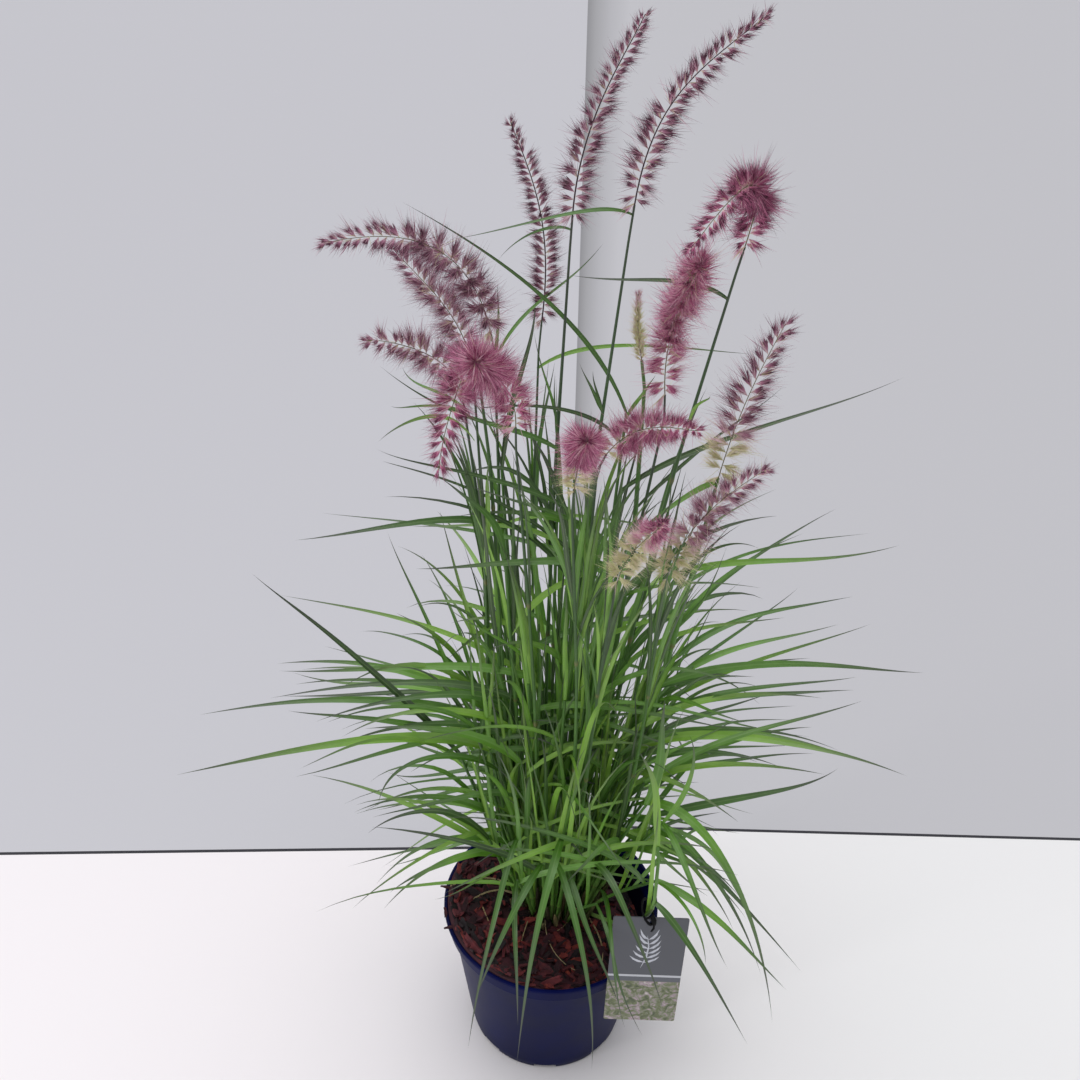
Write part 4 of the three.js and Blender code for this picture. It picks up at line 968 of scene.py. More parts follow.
def mulch_bed(material):
    """Fine bark between the chips: a lumpy bed just under them, sunk where the crown stands."""
    radius = BED_RINGS[0]
    bed = started(bpy.ops.mesh.primitive_circle_add, vertices=96, radius=radius * MM, fill_type="NOTHING")
    bpy.ops.object.mode_set(mode="EDIT")
    bpy.ops.mesh.select_all(action="SELECT")
    for next_radius in BED_RINGS[1:]:
        bpy.ops.mesh.extrude_region_move()
        ratio = next_radius / radius
        bpy.ops.transform.resize(value=(ratio, ratio, 1), center_override=(0, 0, 0))
        radius = next_radius
    bpy.ops.object.mode_set(mode="OBJECT")
    draw = random.Random(CHIP_SEED)
    for vertex in bed.data.vertices:
        x, y = vertex.co.x / MM, vertex.co.y / MM
        reach = min(math.hypot(x, y), filling_radius(mulch_top(x, y)))
        angle = math.atan2(y, x)
        lump = draw.uniform(-BED_LUMP, BED_LUMP) if reach < BED_LUMPY_RADIUS else 0
        sunk = CROWN_HOLLOW * max(0, min(1, -from_crown(x, y) / CROWN_EDGE))
        height = mulch_top(x, y) - 1 + lump - sunk
        vertex.co = (reach * math.cos(angle) * MM, reach * math.sin(angle) * MM, height * MM)
    thick = bed.modifiers.new("thickness", "SOLIDIFY")
    thick.thickness = BED_DEPTH * MM
    thick.offset = -1
    alone(bed)
    bpy.ops.object.mode_set(mode="EDIT")
    bpy.ops.mesh.select_all(action="SELECT")
    bpy.ops.mesh.normals_make_consistent(inside=False)
    bpy.ops.object.mode_set(mode="OBJECT")
    if sum(face.normal.z for face in bed.data.polygons) < 0:
        bed.data.flip_normals()
    bpy.ops.object.modifier_apply(modifier=thick.name)
    bpy.ops.object.shade_smooth()
    bed.data.uv_layers.new(name="UVMap")
    tone = bed.data.attributes.new("tone", "FLOAT", "POINT")
    tone.data.foreach_set("value", [-0.05] * len(bed.data.vertices))
    bed.name = "mulch_bed"
    return finished(bed, material, "bark", "bark_mulch")


def chip_shape(draw):
    """One splintered chip of bark, one unit long, wide and thick."""
    chip = started(bpy.ops.mesh.primitive_cube_add, size=1)
    bpy.ops.object.mode_set(mode="EDIT")
    bpy.ops.mesh.select_all(action="SELECT")
    bpy.ops.mesh.subdivide(number_cuts=1)
    bpy.ops.object.mode_set(mode="OBJECT")
    bow = draw.uniform(-0.25, 0.25)
    for vertex in chip.data.vertices:
        x, y, z = vertex.co
        narrow = 1 - draw.uniform(0.1, 0.85) * (abs(x) * 2) ** 2
        vertex.co = (
            x * draw.uniform(0.75, 1.15),
            y * narrow * draw.uniform(0.6, 1.15) + bow * (x * 2) ** 2,
            z * lerp(1, narrow, 0.5) * draw.uniform(0.5, 1.15) + 0.18 * math.sin(3 * x),
        )
    return Shape(chip, lambda x, y, z: (x + 0.5, y + 0.5 * z + 0.5))


def laid_chip(shape, place, turns, size):
    """The chip's points at a place and with a size in millimetres, turned about Z, Y and X."""
    laid = Matrix.Translation(Vector(place) * MM)
    for angle, axis in zip(turns, "ZYX"):
        laid = laid @ Matrix.Rotation(angle, 4, axis)
    grid = np.array(laid @ Matrix.Diagonal((*(side * MM for side in size), 1)))
    return shape.points @ grid[:3, :3].T + grid[:3, 3]


def bark_chips(material):
    """Chips and splinters of bark lying criss-cross over the bed, and a few on the rim."""
    draw = random.Random(CHIP_SEED)
    shapes = [chip_shape(draw) for _ in range(CHIP_KINDS)]
    bunch = Bunch()
    for i in range(CHIP_COUNT):
        angle = i * TURN
        reach = CHIP_REACH * math.sqrt(draw.random())
        length = draw.uniform(*CHIP_LENGTH) * draw.uniform(0.5, 1.0)
        width = min(draw.uniform(*CHIP_WIDTH), length * 0.6)
        thickness = min(draw.uniform(*CHIP_THICKNESS), width * 0.8)
        x, y = reach * math.cos(angle), reach * math.sin(angle)
        limit = filling_radius(mulch_top(x, y)) - 0.5 * width - 0.12 * length
        reach = min(reach, limit)
        x, y = reach * math.cos(angle), reach * math.sin(angle)
        height = mulch_top(x, y) + draw.uniform(*CHIP_LIFT)
        heading = draw.uniform(0, math.pi)
        if reach > limit - 0.45 * length:
            heading = angle + math.pi / 2 + draw.uniform(-0.25, 0.25)
        turns = (heading, draw.uniform(-CHIP_TILT, CHIP_TILT), draw.uniform(-CHIP_ROLL, CHIP_ROLL))
        tone = draw.choice(CHIP_TONES)
        if from_crown(x, y) < -3:
            continue
        shape = shapes[i % CHIP_KINDS]
        bunch.add(shape, laid_chip(shape, (x, y, height), turns, (length, width, thickness)), tone)
    for x, y, heading in RIM_CHIPS:
        place = (x, y, POT_HEIGHT + RIM_CHIP_LIFT)
        bunch.add(shapes[0], laid_chip(shapes[0], place, [math.radians(heading)], RIM_CHIP_SIZE), 0.0)
    return bunch.make("bark_chips", material, "bark", "bark_mulch", crease=35)


# Grass: a folded blade's section, with five points across its face or three, and its rings
LEAF_SECTION = [(-1, 0.24), (-0.5, 0.08), (0, 0.0), (0.5, 0.08), (1, 0.24), (0, -0.12)]
SIMPLE_SECTION = [(-1, 0.24), (0, 0.0), (1, 0.24), (0, -0.12)]
LEAF_RINGS = 26
SIMPLE_RINGS = 11
LEAF_WIDENING = 1.25
LEAF_START = 0.35
PALEST_LEAF = 0.76


def leaf_shape(section, count):
    """A folded grass blade, one unit long, half a unit wide on each side, drawn to a fine tip."""
    rings = []
    for i in range(count + 1):
        share = i / count
        base = 0.5 + 0.5 * min(1, share / 0.22)
        rings.append((share, base * (1 - share ** 1.7) ** 1.2))
    return Shape(drawn_out(section, rings), lambda x, y, z: (0.5 + 0.5 * x, z))


def stem_shape(sides, nodes, thick, thin):
    """A stem one unit long with swollen nodes; its radius falls from thick to thin."""
    rings = [(0.0, thick)]
    for place in nodes:
        radius = lerp(thick, thin, place)
        rings += [
            (place - 0.05, radius * 0.93), (place - 0.007, radius), (place, radius * 1.38),
            (place + 0.007, radius * 1.14), (place + 0.06, radius * 1.06),
        ]
    rings += [(0.93, thin * 1.02), (1.0, thin * 0.9)]
    return Shape(
        drawn_out(round_section(sides), rings),
        lambda x, y, z: (1.0 if any(abs(z - place) < 0.004 for place in nodes) else 0.0, z),
    )


def needle_shape(sides, rings):
    """A straight round shape one unit long; each ring is a height and a radius."""
    return Shape(drawn_out(round_section(sides), rings), lambda x, y, z: (0.5, z))


def stem_to(collar, foot=None):
    """Curve of a shoot's stem: it rises steeply from its foot in the crown and then leans out."""
    if foot is None:
        x, y = collar[0] - CROWN_CENTRE[0], collar[1] - CROWN_CENTRE[1]
        scale = min(STEM_SPREAD, math.hypot(x, y) * FOOT_SHARE) / math.hypot(x, y)
        foot = (CROWN_CENTRE[0] + x * scale, CROWN_CENTRE[1] + y * scale, STEM_START)
    bend = [lerp(a, b, share) for a, b, share in zip(foot, collar, (BEND_OUT, BEND_OUT, BEND_UP))]
    return [foot, bend, collar]


def culm_places(foot, bend, head):
    """Curve of a flowering stem, from its foot in the crown to its head."""
    top = np.array(head[0], float)
    rise = top[2] - STEM_START
    neck = unit(np.array(head[1], float) - top) * (rise * CULM_NECK)
    return [(*foot, STEM_START), (*bend, STEM_START + rise * CULM_BEND_HEIGHT), tuple(top - neck), tuple(top)]


def blade_from(stem, share, corner, tip):
    """Curve of a blade on a stem: it starts partly along the stem, then follows its own arc."""
    place, heading = bezier(stem, [share])
    collar, heading = place[0] / MM, heading[0]
    corner, tip = np.array(corner, float), np.array(tip, float)
    second = lerp(collar, corner, 2 / 3)
    third = lerp(tip, corner, 2 / 3)
    shift = (heading * np.linalg.norm(second - collar) - (second - collar)) * LEAF_START
    return [collar, second + shift, third - shift * 0.25, tip]


def loose_shoots():
    """Stem, corner and tip of the loose shoots that fill the clump evenly on all sides."""
    draw = seeded_draw(LOOSE_SEED)
    centre = Vector((*CROWN_CENTRE, 0))
    shoots = []
    for i in range(LOOSE_SHOOTS):
        spread = math.sqrt((i + 0.5) / LOOSE_SHOOTS)
        outward = Vector((math.cos(i * TURN), math.sin(i * TURN), 0))
        foot = centre + outward * (STEM_SPREAD * spread) + Vector((0, 0, STEM_START))
        collar = centre + outward * (LOOSE_INNER_REACH + LOOSE_LEAN * spread)
        collar.z = lerp(LOOSE_INNER_HEIGHT, LOOSE_OUTER_HEIGHT, spread) + lerp(*LOOSE_UNEVENNESS, draw())
        heading = Matrix.Rotation(lerp(*LOOSE_SWING, draw()), 3, "Z") @ outward
        reach = lerp(*LOOSE_BLADE_REACH, draw()) * lerp(LOOSE_INNER_SHARE, 1, spread)
        rise = lerp(*LOOSE_BLADE_RISE, draw())
        corner = collar + heading * (reach * LOOSE_CORNER_SHARE) + Vector((0, 0, rise))
        tip = collar + heading * reach + Vector((0, 0, rise * lerp(*LOOSE_DROOP, draw())))
        shoots.append((stem_to(tuple(collar), tuple(foot)), corner, tip))
    return shoots


def leaf_tone(draw, tip_height):
    """Most blades are mid green, some dark and some yellowish; the highest are dark."""
    return min(0.98, max(0.02, draw.gauss(0.52, 0.25) - 0.35 * max(0, min(1, tip_height / 200 - 2.4))))


def add_leaf(bunch, shape, places, half_width, draw, twist=0.5, shown=(0.7, 1.0), shade=0.0):
    """Adds a blade along a curve, with a little twist and sway, and its own tone, darkened or lightened by a
    painted shading.
    """
    points = laid_along(
        shape, places, half_width * LEAF_WIDENING, side=shown_side(places, draw.uniform(*shown)),
        twist=draw.uniform(-twist, twist), sway=draw.uniform(-2, 2), phase=draw.uniform(0, 6),
    )
    bunch.add(shape, points, min(PALEST_LEAF, leaf_tone(draw, places[-1][2]) * (1 - shade)))


def add_stem(bunch, shape, places, radius, draw, low_tone, high_tone):
    """Adds a stem along a curve, with its nodes a little higher or lower on each."""
    points = laid_along(shape, places, radius, sway=draw.uniform(-1, 1), gamma=draw.uniform(0.85, 1.15))
    tones = lerp(low_tone, high_tone, shape.points[:, 2]) + draw.uniform(-0.1, 0.1)
    bunch.add(shape, points, tones[None])


def fan_leaves(bunch, shape, stems, draw):
    """Leaves that reach out to the left and the right in turn, the wide ones farther and straighter."""
    for i in range(FAN_LEAVES):
        lowest, swing, reaches = FAN_WIDE if i % 4 < 2 else FAN_LOW
        stem = draw.choice(stems)
        share = draw.uniform(lowest, 1)
        start = bezier(stem, [share])[0][0] / MM
        angle = draw.gauss(math.pi * (i % 2), swing)
        heading = np.array([math.cos(angle), FAN_DEPTH * math.sin(angle), 0])
        reach = draw.uniform(*reaches)
        rise = draw.uniform(*FAN_RISE)
        corner = start + heading * reach * 0.5 + UP * rise
        tip = start + heading * reach + UP * rise * draw.uniform(*FAN_DROOP)
        add_leaf(bunch, shape, blade_from(stem, share, corner, tip), draw.uniform(*FAN_HALF_WIDTH), draw)


def steep_leaves(bunch, shape, stems, draw):
    """Steep leaves that fill the middle, a third of them on the tall flowering stems."""
    for i in range(STEEP_LEAVES):
        tall = i % 3 == 0
        stem = stems[draw.choice(MIDDLE_HEADS)] if tall else draw.choice(list(stems.values()))
        share = draw.uniform(*(STEEP_TALL_SHARE if tall else STEEP_SHARE))
        start = bezier(stem, [share])[0][0] / MM
        if start[2] > STEEP_TOP - STEEP_RISE[0]:
            continue
        angle = math.atan2(start[1] - CROWN_CENTRE[1], start[0]) + draw.uniform(*STEEP_TURN)
        heading = np.array([math.cos(angle), math.sin(angle), 0])
        reach = draw.uniform(*STEEP_REACH)
        rise = min(draw.uniform(*STEEP_RISE), STEEP_TOP - start[2])
        corner = start + heading * reach * 0.25 + UP * rise * 0.65
        tip = start + heading * reach + UP * rise * draw.uniform(0.9, 1.03)
        half_width = draw.uniform(*STEEP_HALF_WIDTH)
        blade = blade_from(stem, share, corner, tip)
        add_leaf(bunch, shape, blade, half_width, draw, twist=1.0, shown=(0.3, 1.0), shade=STEEP_SHADE)


def grass(leaf_material, stem_material):
    """All green stems and blades. Each piece is one bunch."""
    draw = random.Random(LEAF_SEED)
    leaf = leaf_shape(LEAF_SECTION, LEAF_RINGS)
    simple_leaf = leaf_shape(SIMPLE_SECTION, SIMPLE_RINGS)
    culm_stem = stem_shape(8, (0.16, 0.36, 0.58), 1.5, 0.65)
    leaf_stem = stem_shape(6, (0.3, 0.62), 1.15, 0.9)
    flower_stems, leaf_stems, seen, loose, fan, steep = (Bunch() for _ in range(6))
    stems = {}
    for (foot, bend), (name, head) in zip(CULMS, HEADS.items()):
        stems[name] = culm_places(foot, bend, head)
        widening, tones = 1, CULM_TONES
        if name in SHEATHED_HEADS:
            widening, tones = SHEATH_WIDENING, (CULM_TONES[0], SHEATH_TONE)
        add_stem(flower_stems, culm_stem, stems[name], CULM_RADIUS * widening, draw, *tones)
    for name, (half_width, collar, corner, tip) in SHOOTS.items():
        stems[name] = stem_to(collar)
        add_stem(leaf_stems, leaf_stem, stems[name], SHOOT_RADIUS, draw, *SHOOT_TONES)
        # Painted shade: front leaves are darkened, standing for the shade at the clump's foot.
        shade = FRONT_SHADE if name.startswith("front") else 0.0
        add_leaf(seen, leaf, blade_from(stems[name], 1, corner, tip), half_width, draw, shade=shade)
    for i, (collar, corner, tip) in enumerate(UPRIGHTS):
        stems[i] = stem_to(collar)
        add_stem(leaf_stems, leaf_stem, stems[i], SHOOT_RADIUS, draw, *SHOOT_TONES)
        add_leaf(seen, leaf, blade_from(stems[i], 1, corner, tip), RISE_HALF_WIDTH, draw)
    stems["tag_shoot"] = TAG_STEM
    add_stem(leaf_stems, leaf_stem, TAG_STEM, SHOOT_RADIUS * 1.15, draw, *TAG_STEM_TONES)
    add_leaf(seen, leaf, blade_from(TAG_STEM, 1, *TAG_BLADE), TAG_HALF_WIDTH, draw)
    for stem, share, half_width, corner, tip in LEAVES:
        add_leaf(seen, leaf, blade_from(stems[stem], share, corner, tip), half_width, draw)
    for i, (stem, corner, tip) in enumerate(loose_shoots()):
        stems[f"loose {i}"] = stem
        add_stem(leaf_stems, leaf_stem, stem, SHOOT_RADIUS, draw, *SHOOT_TONES)
        add_leaf(loose, leaf, blade_from(stem, 1, corner, tip), LOOSE_HALF_WIDTH, draw)
    fan_leaves(fan, simple_leaf, [stem for name, stem in stems.items() if name not in HEADS], draw)
    steep_leaves(steep, simple_leaf, stems, draw)
    for name, bunch in (("flower_stems", flower_stems), ("leaf_stems", leaf_stems)):
        bunch.make(name, stem_material, "grass", "grass_clump")
    for name, bunch in (
        ("outer_leaves", seen), ("filling_leaves", loose), ("fan_leaves", fan), ("steep_leaves", steep),
    ):
        bunch.make(name, leaf_material, "grass", "grass_clump")


def crown(material):
    """Foot of the clump: a dark mound set with the stubs of old sheaths."""
    draw = random.Random(STUB_SEED)
    bunch = Bunch()
    mound = needle_shape(40, [(0.0, 1.0), (0.25, 1.02), (0.55, 0.86), (0.8, 0.6), (1.0, 0.3)])
    size = np.array([CROWN_RADIUS * 0.9, CROWN_RADIUS * 0.9, CROWN_TOP - CROWN_BOTTOM - 14])
    points = mound.points * size * MM + np.array([*CROWN_CENTRE, CROWN_BOTTOM]) * MM
    bunch.add(mound, points, -0.1)
    stub = needle_shape(5, [(0.0, 1.0), (0.5, 1.05), (0.85, 0.8), (1.0, 0.35)])
    for i in range(STUB_COUNT):
        angle = i * TURN
        spread = math.sqrt((i + 0.5) / STUB_COUNT)
        reach = crown_radius(angle) * spread
        x, y = CROWN_CENTRE[0] + reach * math.cos(angle), CROWN_CENTRE[1] + reach * math.sin(angle)
        root = np.array([[x, y, min(lerp(124, 108, spread), mulch_top(x, y) - 4)]]) * MM
        lean = np.array([[math.cos(angle), math.sin(angle), 0]]) * draw.uniform(0.05, 0.5) * spread + UP
        lean = lean + np.array([[draw.uniform(-0.15, 0.15), draw.uniform(-0.15, 0.15), 0]])
        length = np.array([draw.uniform(*STUB_LENGTH) * MM])
        radius = np.array([draw.uniform(*STUB_RADIUS) * MM])
        bunch.add(stub, planted(stub, root, lean, length, radius), draw.uniform(0.1, 0.75))
    straw = needle_shape(4, [(i / 10, 1 - 0.5 * i / 10) for i in range(11)])
    for half_width, places in STRAWS:
        lain = [(x, y, mulch_top(x, y) + STRAW_LIFT) for x, y in places]
        bunch.add(straw, laid_along(straw, lain, half_width), draw.uniform(0.75, 0.95))
    return bunch.make("clump_crown", material, "grass", "grass_clump")


# Flower heads
RACHIS_RADIUS = 0.34
TUFT_SPACING = 2.15
STALK_LENGTH = 1.1
SPIKELETS = 5
SPIKELET_LENGTH = 7.5
SPIKELET_RADIUS = 0.62
BRISTLE_RADIUS = 0.19
STALK_RADIUS = 0.28
STALK_TONE = 0.24
SPIKELET_TONE = 0.26
BRISTLE_TONE = 0.34
UNRIPE_TONE = 0.175
SILK_EDGE = 0.14
# How far a tuft opens from the rachis in degrees: at the foot and at the tip of a head, more in its lax
# lowest part, less in its closed last part, and how uneven that is. A young head opens a third as far.
TUFT_OPENING = (74, 50)
LAX_OPENING = 66
CLOSED_OPENING = 30
UNEVEN_OPENING = 9
YOUNG_OPENING = 0.34
LAX_SHARE = 0.12
CLOSED_SHARE = 0.2
TUFT_TURN = 0.42
TUFT_UNEVENNESS = (0.85, 1.15)
TIP_TAPER = 0.55
# Bristles in a tuft, the shortest, the longest and how far they fan, in a plain and in a silky stretch.
PLAIN_TUFT = (60, 6.5, 13.0, 0.2)
SILKY_TUFT = (110, 8.0, 16.0, 0.42)
LONG_BRISTLES = 7
# Single heads: the size of their tufts, where a silky stretch begins and ends, how silky it is, the share
# that is unripe, and the tone of the tips.
HEAD_LOOKS = {
    "head_back_centre": (1.0, 0, 0, 0, 0, 1.0),
    "head_tallest_right": (1.05, 0, 0, 0, 0, 1.0),
    "head_back_left": (0.9, 0, 0, 0, 0, 1.0),
    "head_left_arch": (1.3, -0.2, 0.7, 0.65, 0.02, 0.9),
    "head_left_back_slant": (1.25, -0.2, 0.7, 0.6, 0.02, 0.85),
    "head_left_short": (1.1, -0.2, 0.6, 0.5, 0.05, 0.82),
    "head_left_front": (1.2, 0.45, 1.2, 1, 0, 0.8),
    "head_left_nodding": (1.25, -0.2, 0.6, 0.8, 0, 0.98),
    "head_front_centre": (0.9, 0.32, 1.2, 1, 0.22, 0.82),
    "head_right_magenta": (1.1, 0.2, 1.2, 0.9, 0, 0.76),
    "head_right_nodding": (1.0, 0.2, 0.65, 1, 0, 1.06),
    "head_low_front": (0.95, 0.4, 0.95, 0.2, 0.65, 1.0),
    "head_right_slant": (1.5, -0.2, 0.5, 0.25, 0.27, 0.92),
    "head_low_right": (1.25, -0.2, 0.8, 0.4, 0.33, 0.84),
    "head_front_right": (1.05, 0, 0.7, 0.5, 0.1, 0.86),
    "head_young_spike": (0.62, 0, 0, 0, 0.95, 0.9),
}
MAUVE_HEADS = (
    "head_back_centre", "head_tallest_right", "head_back_left", "head_left_short", "head_right_slant",
    "head_low_right", "head_young_spike", "head_left_arch", "head_left_back_slant",
)
# Heads whose dark stem shows between the tufts: their own widening and tone, and the tone of the others'
BARE_HEADS = ("head_back_centre", "head_tallest_right", "head_back_left")
BARE_WIDENING = 1.5
BARE_TONE = 1.1
HIDDEN_TONE = -0.1


def spikelet_shape():
    """A small pointed husk, one unit long."""
    model = started(bpy.ops.mesh.primitive_ico_sphere_add, subdivisions=1, radius=0.5)
    for vertex in model.data.vertices:
        x, y, z = vertex.co
        rise = z + 0.5
        vertex.co = (x * 2 * (1 - 0.35 * rise), y * 2 * (1 - 0.35 * rise), rise)
    return Shape(model, lambda x, y, z: (0.5, z))


def even_shares(places, count):
    """Shares of a curve that lie evenly along its length, and the length in millimetres."""
    fine = np.linspace(0, 1, 200)
    points = bezier(places, fine)[0]
    along = np.concatenate([[0], np.cumsum(np.linalg.norm(np.diff(points, axis=0), axis=1))])
    return np.interp((np.arange(count) + 0.5) / count * along[-1], along, fine), along[-1] / MM


def flower_head(name, places, shapes, material, seed):
    """A plume: a thin rachis with tufts along both sides, each of spikelets in a fan of silky bristles."""
    rachis, spikelet, bristle, long_bristle = shapes
    young = name == "head_young_spike"
    bare = name in BARE_HEADS
    size, silky_from, silky_to, silkiness, unripe, tip_tone = HEAD_LOOKS[name]
    draw = np.random.default_rng(seed)
    bunch = Bunch()
    count = int(even_shares(places, 10)[1] / (TUFT_SPACING * size ** 0.7 * (0.75 if young else 1)))
    turn = np.arange(count)
    rank = (turn + 0.5) / count
    silk = silkiness * np.clip((rank - silky_from) / SILK_EDGE, 0, 1)
    silk = silk * np.clip((silky_to - rank) / SILK_EDGE, 0, 1)
    ripe = np.clip((rank - unripe * 0.7) / (unripe * 0.6 + 0.02), 0, 1)
    points = laid_along(rachis, places, RACHIS_RADIUS * (BARE_WIDENING if bare else 1))
    bunch.add(rachis, points, BARE_TONE if bare else HIDDEN_TONE)

    # Where each tuft stands and points: lax at the foot of the head, close at its tip
    centres, tangents = bezier(places, even_shares(places, count)[0])
    side = unit(np.cross(tangents, SIGHT))
    away = np.cross(side, tangents)
    facing = turn // 2 % 2 * 2 - 1
    angle = turn % 2 * math.pi + (0.2 + 0.6 * silk) * facing + draw.normal(0, TUFT_TURN, count)
    out = side * np.cos(angle)[:, None] + away * np.sin(angle)[:, None]
    lax = np.clip(1 - rank / LAX_SHARE, 0, 1)
    closed = np.clip((rank - (1 - CLOSED_SHARE)) / CLOSED_SHARE, 0, 1)
    taper = size * (1 - TIP_TAPER * rank ** 2.5 * (1 - silk)) * (1 - 0.2 * lax)
    taper = taper * draw.uniform(*TUFT_UNEVENNESS, count)
    opening = lerp(*TUFT_OPENING, rank) + LAX_OPENING * lax - CLOSED_OPENING * closed
    opening = opening * (YOUNG_OPENING if young else 1) + draw.normal(0, UNEVEN_OPENING, count)
    open_angle = np.radians(opening)
    headings = tangents * np.cos(open_angle)[:, None] + out * np.sin(open_angle)[:, None]
    roots = centres + out * (RACHIS_RADIUS * 0.7 * MM)
    stalk = np.full(count, STALK_LENGTH * MM) * taper
    stalk_radii = np.full(count, STALK_RADIUS * MM)
    bunch.add(bristle, planted(bristle, roots, headings, stalk * 2, stalk_radii), STALK_TONE)

    for _ in range(SPIKELETS):
        tilt = headings + draw.normal(0, 0.14, (count, 3))
        base = roots + headings * (stalk * draw.uniform(0.8, 1.4, count))[:, None]
        long = SPIKELET_LENGTH * MM * taper * draw.uniform(0.8, 1.15, count)
        tones = lerp(SPIKELET_TONE, tip_tone + 0.08, spikelet.points[None, :, 2] ** 0.85)
        points = planted(spikelet, base, tilt, long, np.full(count, SPIKELET_RADIUS * MM) * size)
        bunch.add(spikelet, points, unripe_tones(tones, ripe, draw, 0.06))

    plain, dense = np.array(PLAIN_TUFT)[:, None], np.array(SILKY_TUFT)[:, None]
    copies, shortest, longest, fan = plain + (dense - plain) * silk
    copies = copies * (0.8 + 0.2 * ripe) * (1 - 0.3 * lax) * (0.6 if young else 1)
    few = np.full(count, LONG_BRISTLES)
    for kind, number, low, high, wide, pale in (
        (bristle, copies, shortest, longest, fan, 0.0),
        (long_bristle, few, longest, longest * 1.5, fan * 1.5, 0.1),
    ):
        many = np.repeat(turn, number.astype(int))
        total = len(many)
        tilt = headings[many] + draw.normal(0, 1, (total, 3)) * wide[many][:, None]
        base = roots[many] + headings[many] * (stalk[many] * draw.uniform(0.2, 2.0, total))[:, None]
        long = lerp(low[many], high[many], draw.random(total)) * MM * taper[many]
        tones = lerp(BRISTLE_TONE, tip_tone, kind.points[None, :, 2]) - pale
        points = planted(kind, base, tilt, long, np.full(total, BRISTLE_RADIUS * MM))
        bunch.add(kind, points, unripe_tones(tones, ripe[many], draw, 0.27))
    return bunch.make(name.replace("head", "plume"), material, "young_head" if young else "flower_head", name)


def unripe_tones(tones, ripe, draw, unevenness):
    """Tones of a shape for each copy: cream where the head is unripe, and uneven from copy to copy."""
    ripe = ripe[:, None]
    shift = draw.uniform(-unevenness, unevenness, len(ripe))[:, None]
    return lerp(UNRIPE_TONE, tones, ripe) + shift * (0.3 + 0.7 * ripe)


def flower_heads(mauve, magenta):
    """One plume for each head, from the shapes of a rachis, a spikelet, a bristle and a long bristle."""
    shapes = (
        needle_shape(6, [(i / 24, 1 - 0.5 * i / 24) for i in range(25)]),
        spikelet_shape(),
        needle_shape(3, [(0.0, 1.0), (1.0, 0)]),
        needle_shape(3, [(0.0, 0.8), (0.5, 0.6), (1.0, 0)]),
    )
    for seed, (name, places) in enumerate(HEADS.items(), 1):
        flower_head(name, places, shapes, mauve if name in MAUVE_HEADS else magenta, seed)


# Tag
def hang_tag(card_material, ink_material, cord_material):
    """The card: a thin plate with rounded corners, a hole near its top edge and a plain printed sprig."""
    width, thickness, height = (size * MM for size in TAG_SIZE)
    card = started(bpy.ops.mesh.primitive_cube_add, size=1)
    card.scale = (width, thickness, height)
    card.location = Vector(TAG_CENTRE) * MM
    bpy.ops.object.transform_apply(location=True, rotation=True, scale=True)
    bpy.ops.object.mode_set(mode="EDIT")
    mesh = bmesh.from_edit_mesh(card.data)
    for edge in mesh.edges:
        a, b = edge.verts
        edge.select = abs(a.co.y - b.co.y) > thickness / 2
    bpy.ops.mesh.bevel(offset=TAG_CORNER * MM, segments=6, affect="EDGES")
    bpy.ops.object.mode_set(mode="OBJECT")
    reach = TIE_SHORT_RADIUS * math.sqrt(1 - ((TAG_CENTRE[1] - TIE_CENTRE[1]) / TIE_LONG_RADIUS) ** 2)
    shift = reach * math.sqrt(0.5)
    hole_place = (TIE_CENTRE[0] + shift, TAG_CENTRE[1], TIE_CENTRE[2] - shift)
    cutter = started(
        bpy.ops.mesh.primitive_cylinder_add, vertices=32, radius=TAG_HOLE_RADIUS * MM, depth=0.01,
        location=Vector(hole_place) * MM, rotation=(math.pi / 2, 0, 0),
    )
    cut_out(card, cutter)
    bpy.ops.object.shade_smooth_by_angle(angle=math.radians(30))
    card.name = "hang_tag_card"
    finished(card, card_material, "tag_card", "plant_tag")
    sprig(ink_material)
    tie(cord_material)


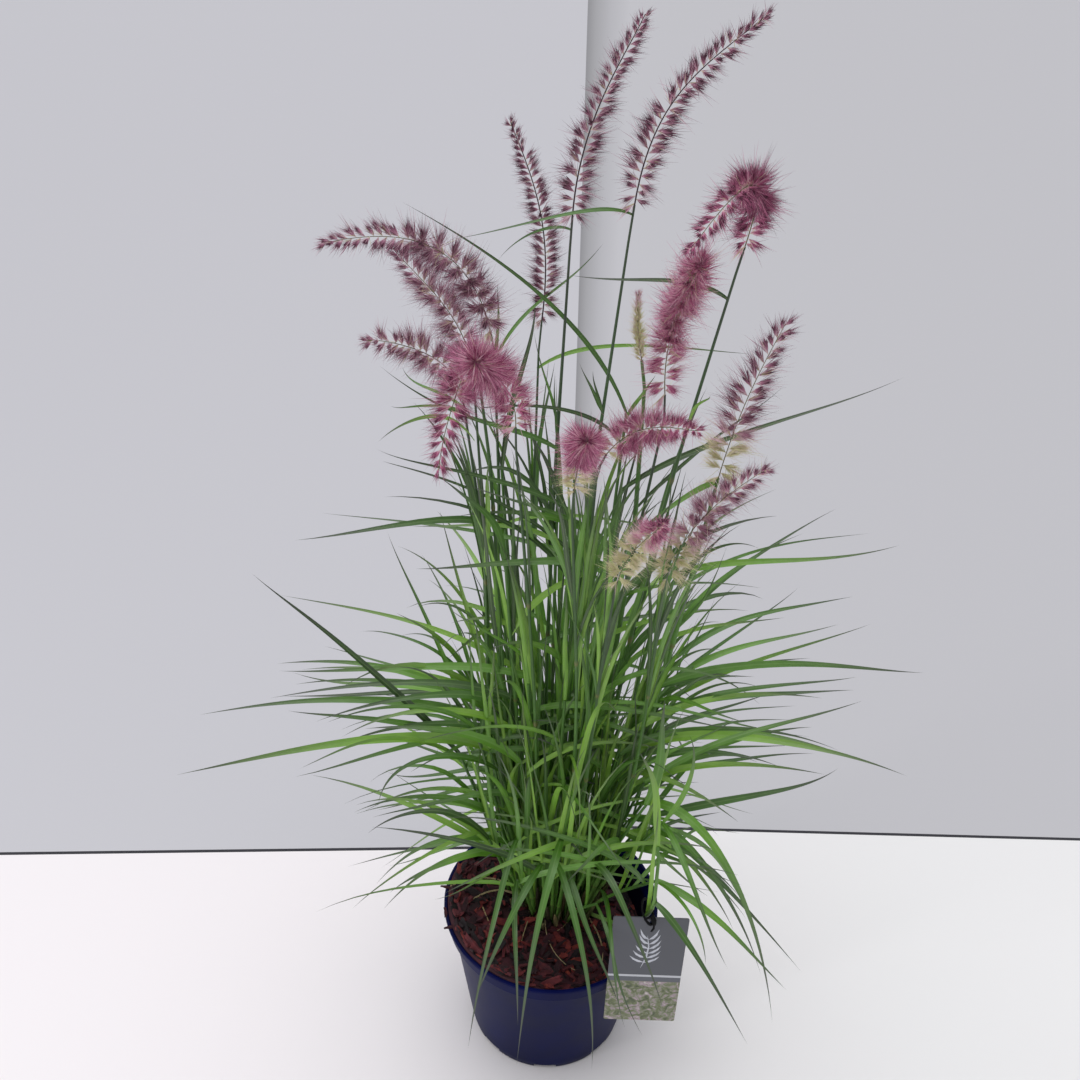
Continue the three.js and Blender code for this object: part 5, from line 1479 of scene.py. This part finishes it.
def sprig(material):
    """A plain pale sprig on the card's front: one bent stem with narrow leaves in pairs."""
    bunch = Bunch()
    leaf = needle_shape(4, [(0.0, 0.2), (0.3, 1.0), (0.6, 0.8), (1.0, 0)])
    front = TAG_CENTRE[1] - TAG_SIZE[1] / 2
    foot = np.array([TAG_CENTRE[0], front, TAG_CENTRE[2] + 4])
    stem = [foot + (-4, 0, 0), foot + (4, 0, 22), foot + (-2, 0, 44)]
    marks = [(0.9, stem)]
    for i in range(6):
        start = bezier(stem, [0.15 + 0.13 * i])[0][0] / MM
        for way in (-1, 1):
            bend = start + (way * (8 - 0.5 * i), 0, 1.5)
            marks.append((1.5, [start, bend, start + (way * (13 - i), 0, 9 + i)]))
    for half_width, places in marks:
        points = laid_along(leaf, places, half_width, side=np.array([1.0, 0, 0]))
        bunch.add(leaf, flattened(points, front), 0.5)
    return bunch.make("card_sprig", material, "tag_card", "plant_tag")


def flattened(points, front):
    """Presses a printed mark onto the card's front face, a tenth of a millimetre proud."""
    pressed = points.copy()
    pressed[:, 1] = (front + np.where(points[:, 1] < front * MM, -0.1, 0.02)) * MM
    return pressed


def tie(material):
    """Black cord: a long loop through the card's hole and round the shoot, with a small knot."""
    loop = started(
        bpy.ops.mesh.primitive_torus_add, major_segments=64, minor_segments=10,
        major_radius=TIE_SHORT_RADIUS * MM, minor_radius=TIE_CORD_RADIUS * MM,
    )
    loop.scale = (1, TIE_LONG_RADIUS / TIE_SHORT_RADIUS, 1)
    loop.rotation_euler = (0, math.pi / 4, 0)
    loop.location = Vector(TIE_CENTRE) * MM
    bpy.ops.object.transform_apply(location=True, rotation=True, scale=True)
    bpy.ops.object.shade_smooth()
    loop.name = "tie_loop"
    finished(loop, material, "tie_cord", "tag_tie")
    knot = needle_shape(8, [(0.0, 0.5), (0.15, 0.95), (0.5, 1.15), (0.85, 0.95), (1.0, 0.5)])
    bunch = Bunch()
    for radius, places in KNOT_PARTS:
        bunch.add(knot, laid_along(knot, places, radius, side=np.array([0.0, 1.0, 0.0])), 0.5)
    return bunch.make("tie_knot", material, "tie_cord", "tag_tie")


photograph_camera()
studio()

bark = conifer_bark()
moulded_pot(moulded_polypropylene())
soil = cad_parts["potting_soil"]
soil.data.materials.clear()
soil.data.materials.append(compost())
mulch_bed(bark)
bark_chips(bark)
crown(dry_sheath())
grass(grass_leaf(), grass_stem())
flower_heads(
    plume_fibre("mauve grass plume", MAUVE_STOPS), plume_fibre("magenta grass plume", MAGENTA_STOPS),
)
hang_tag(printed_card(), card_ink(), elastic_cord())
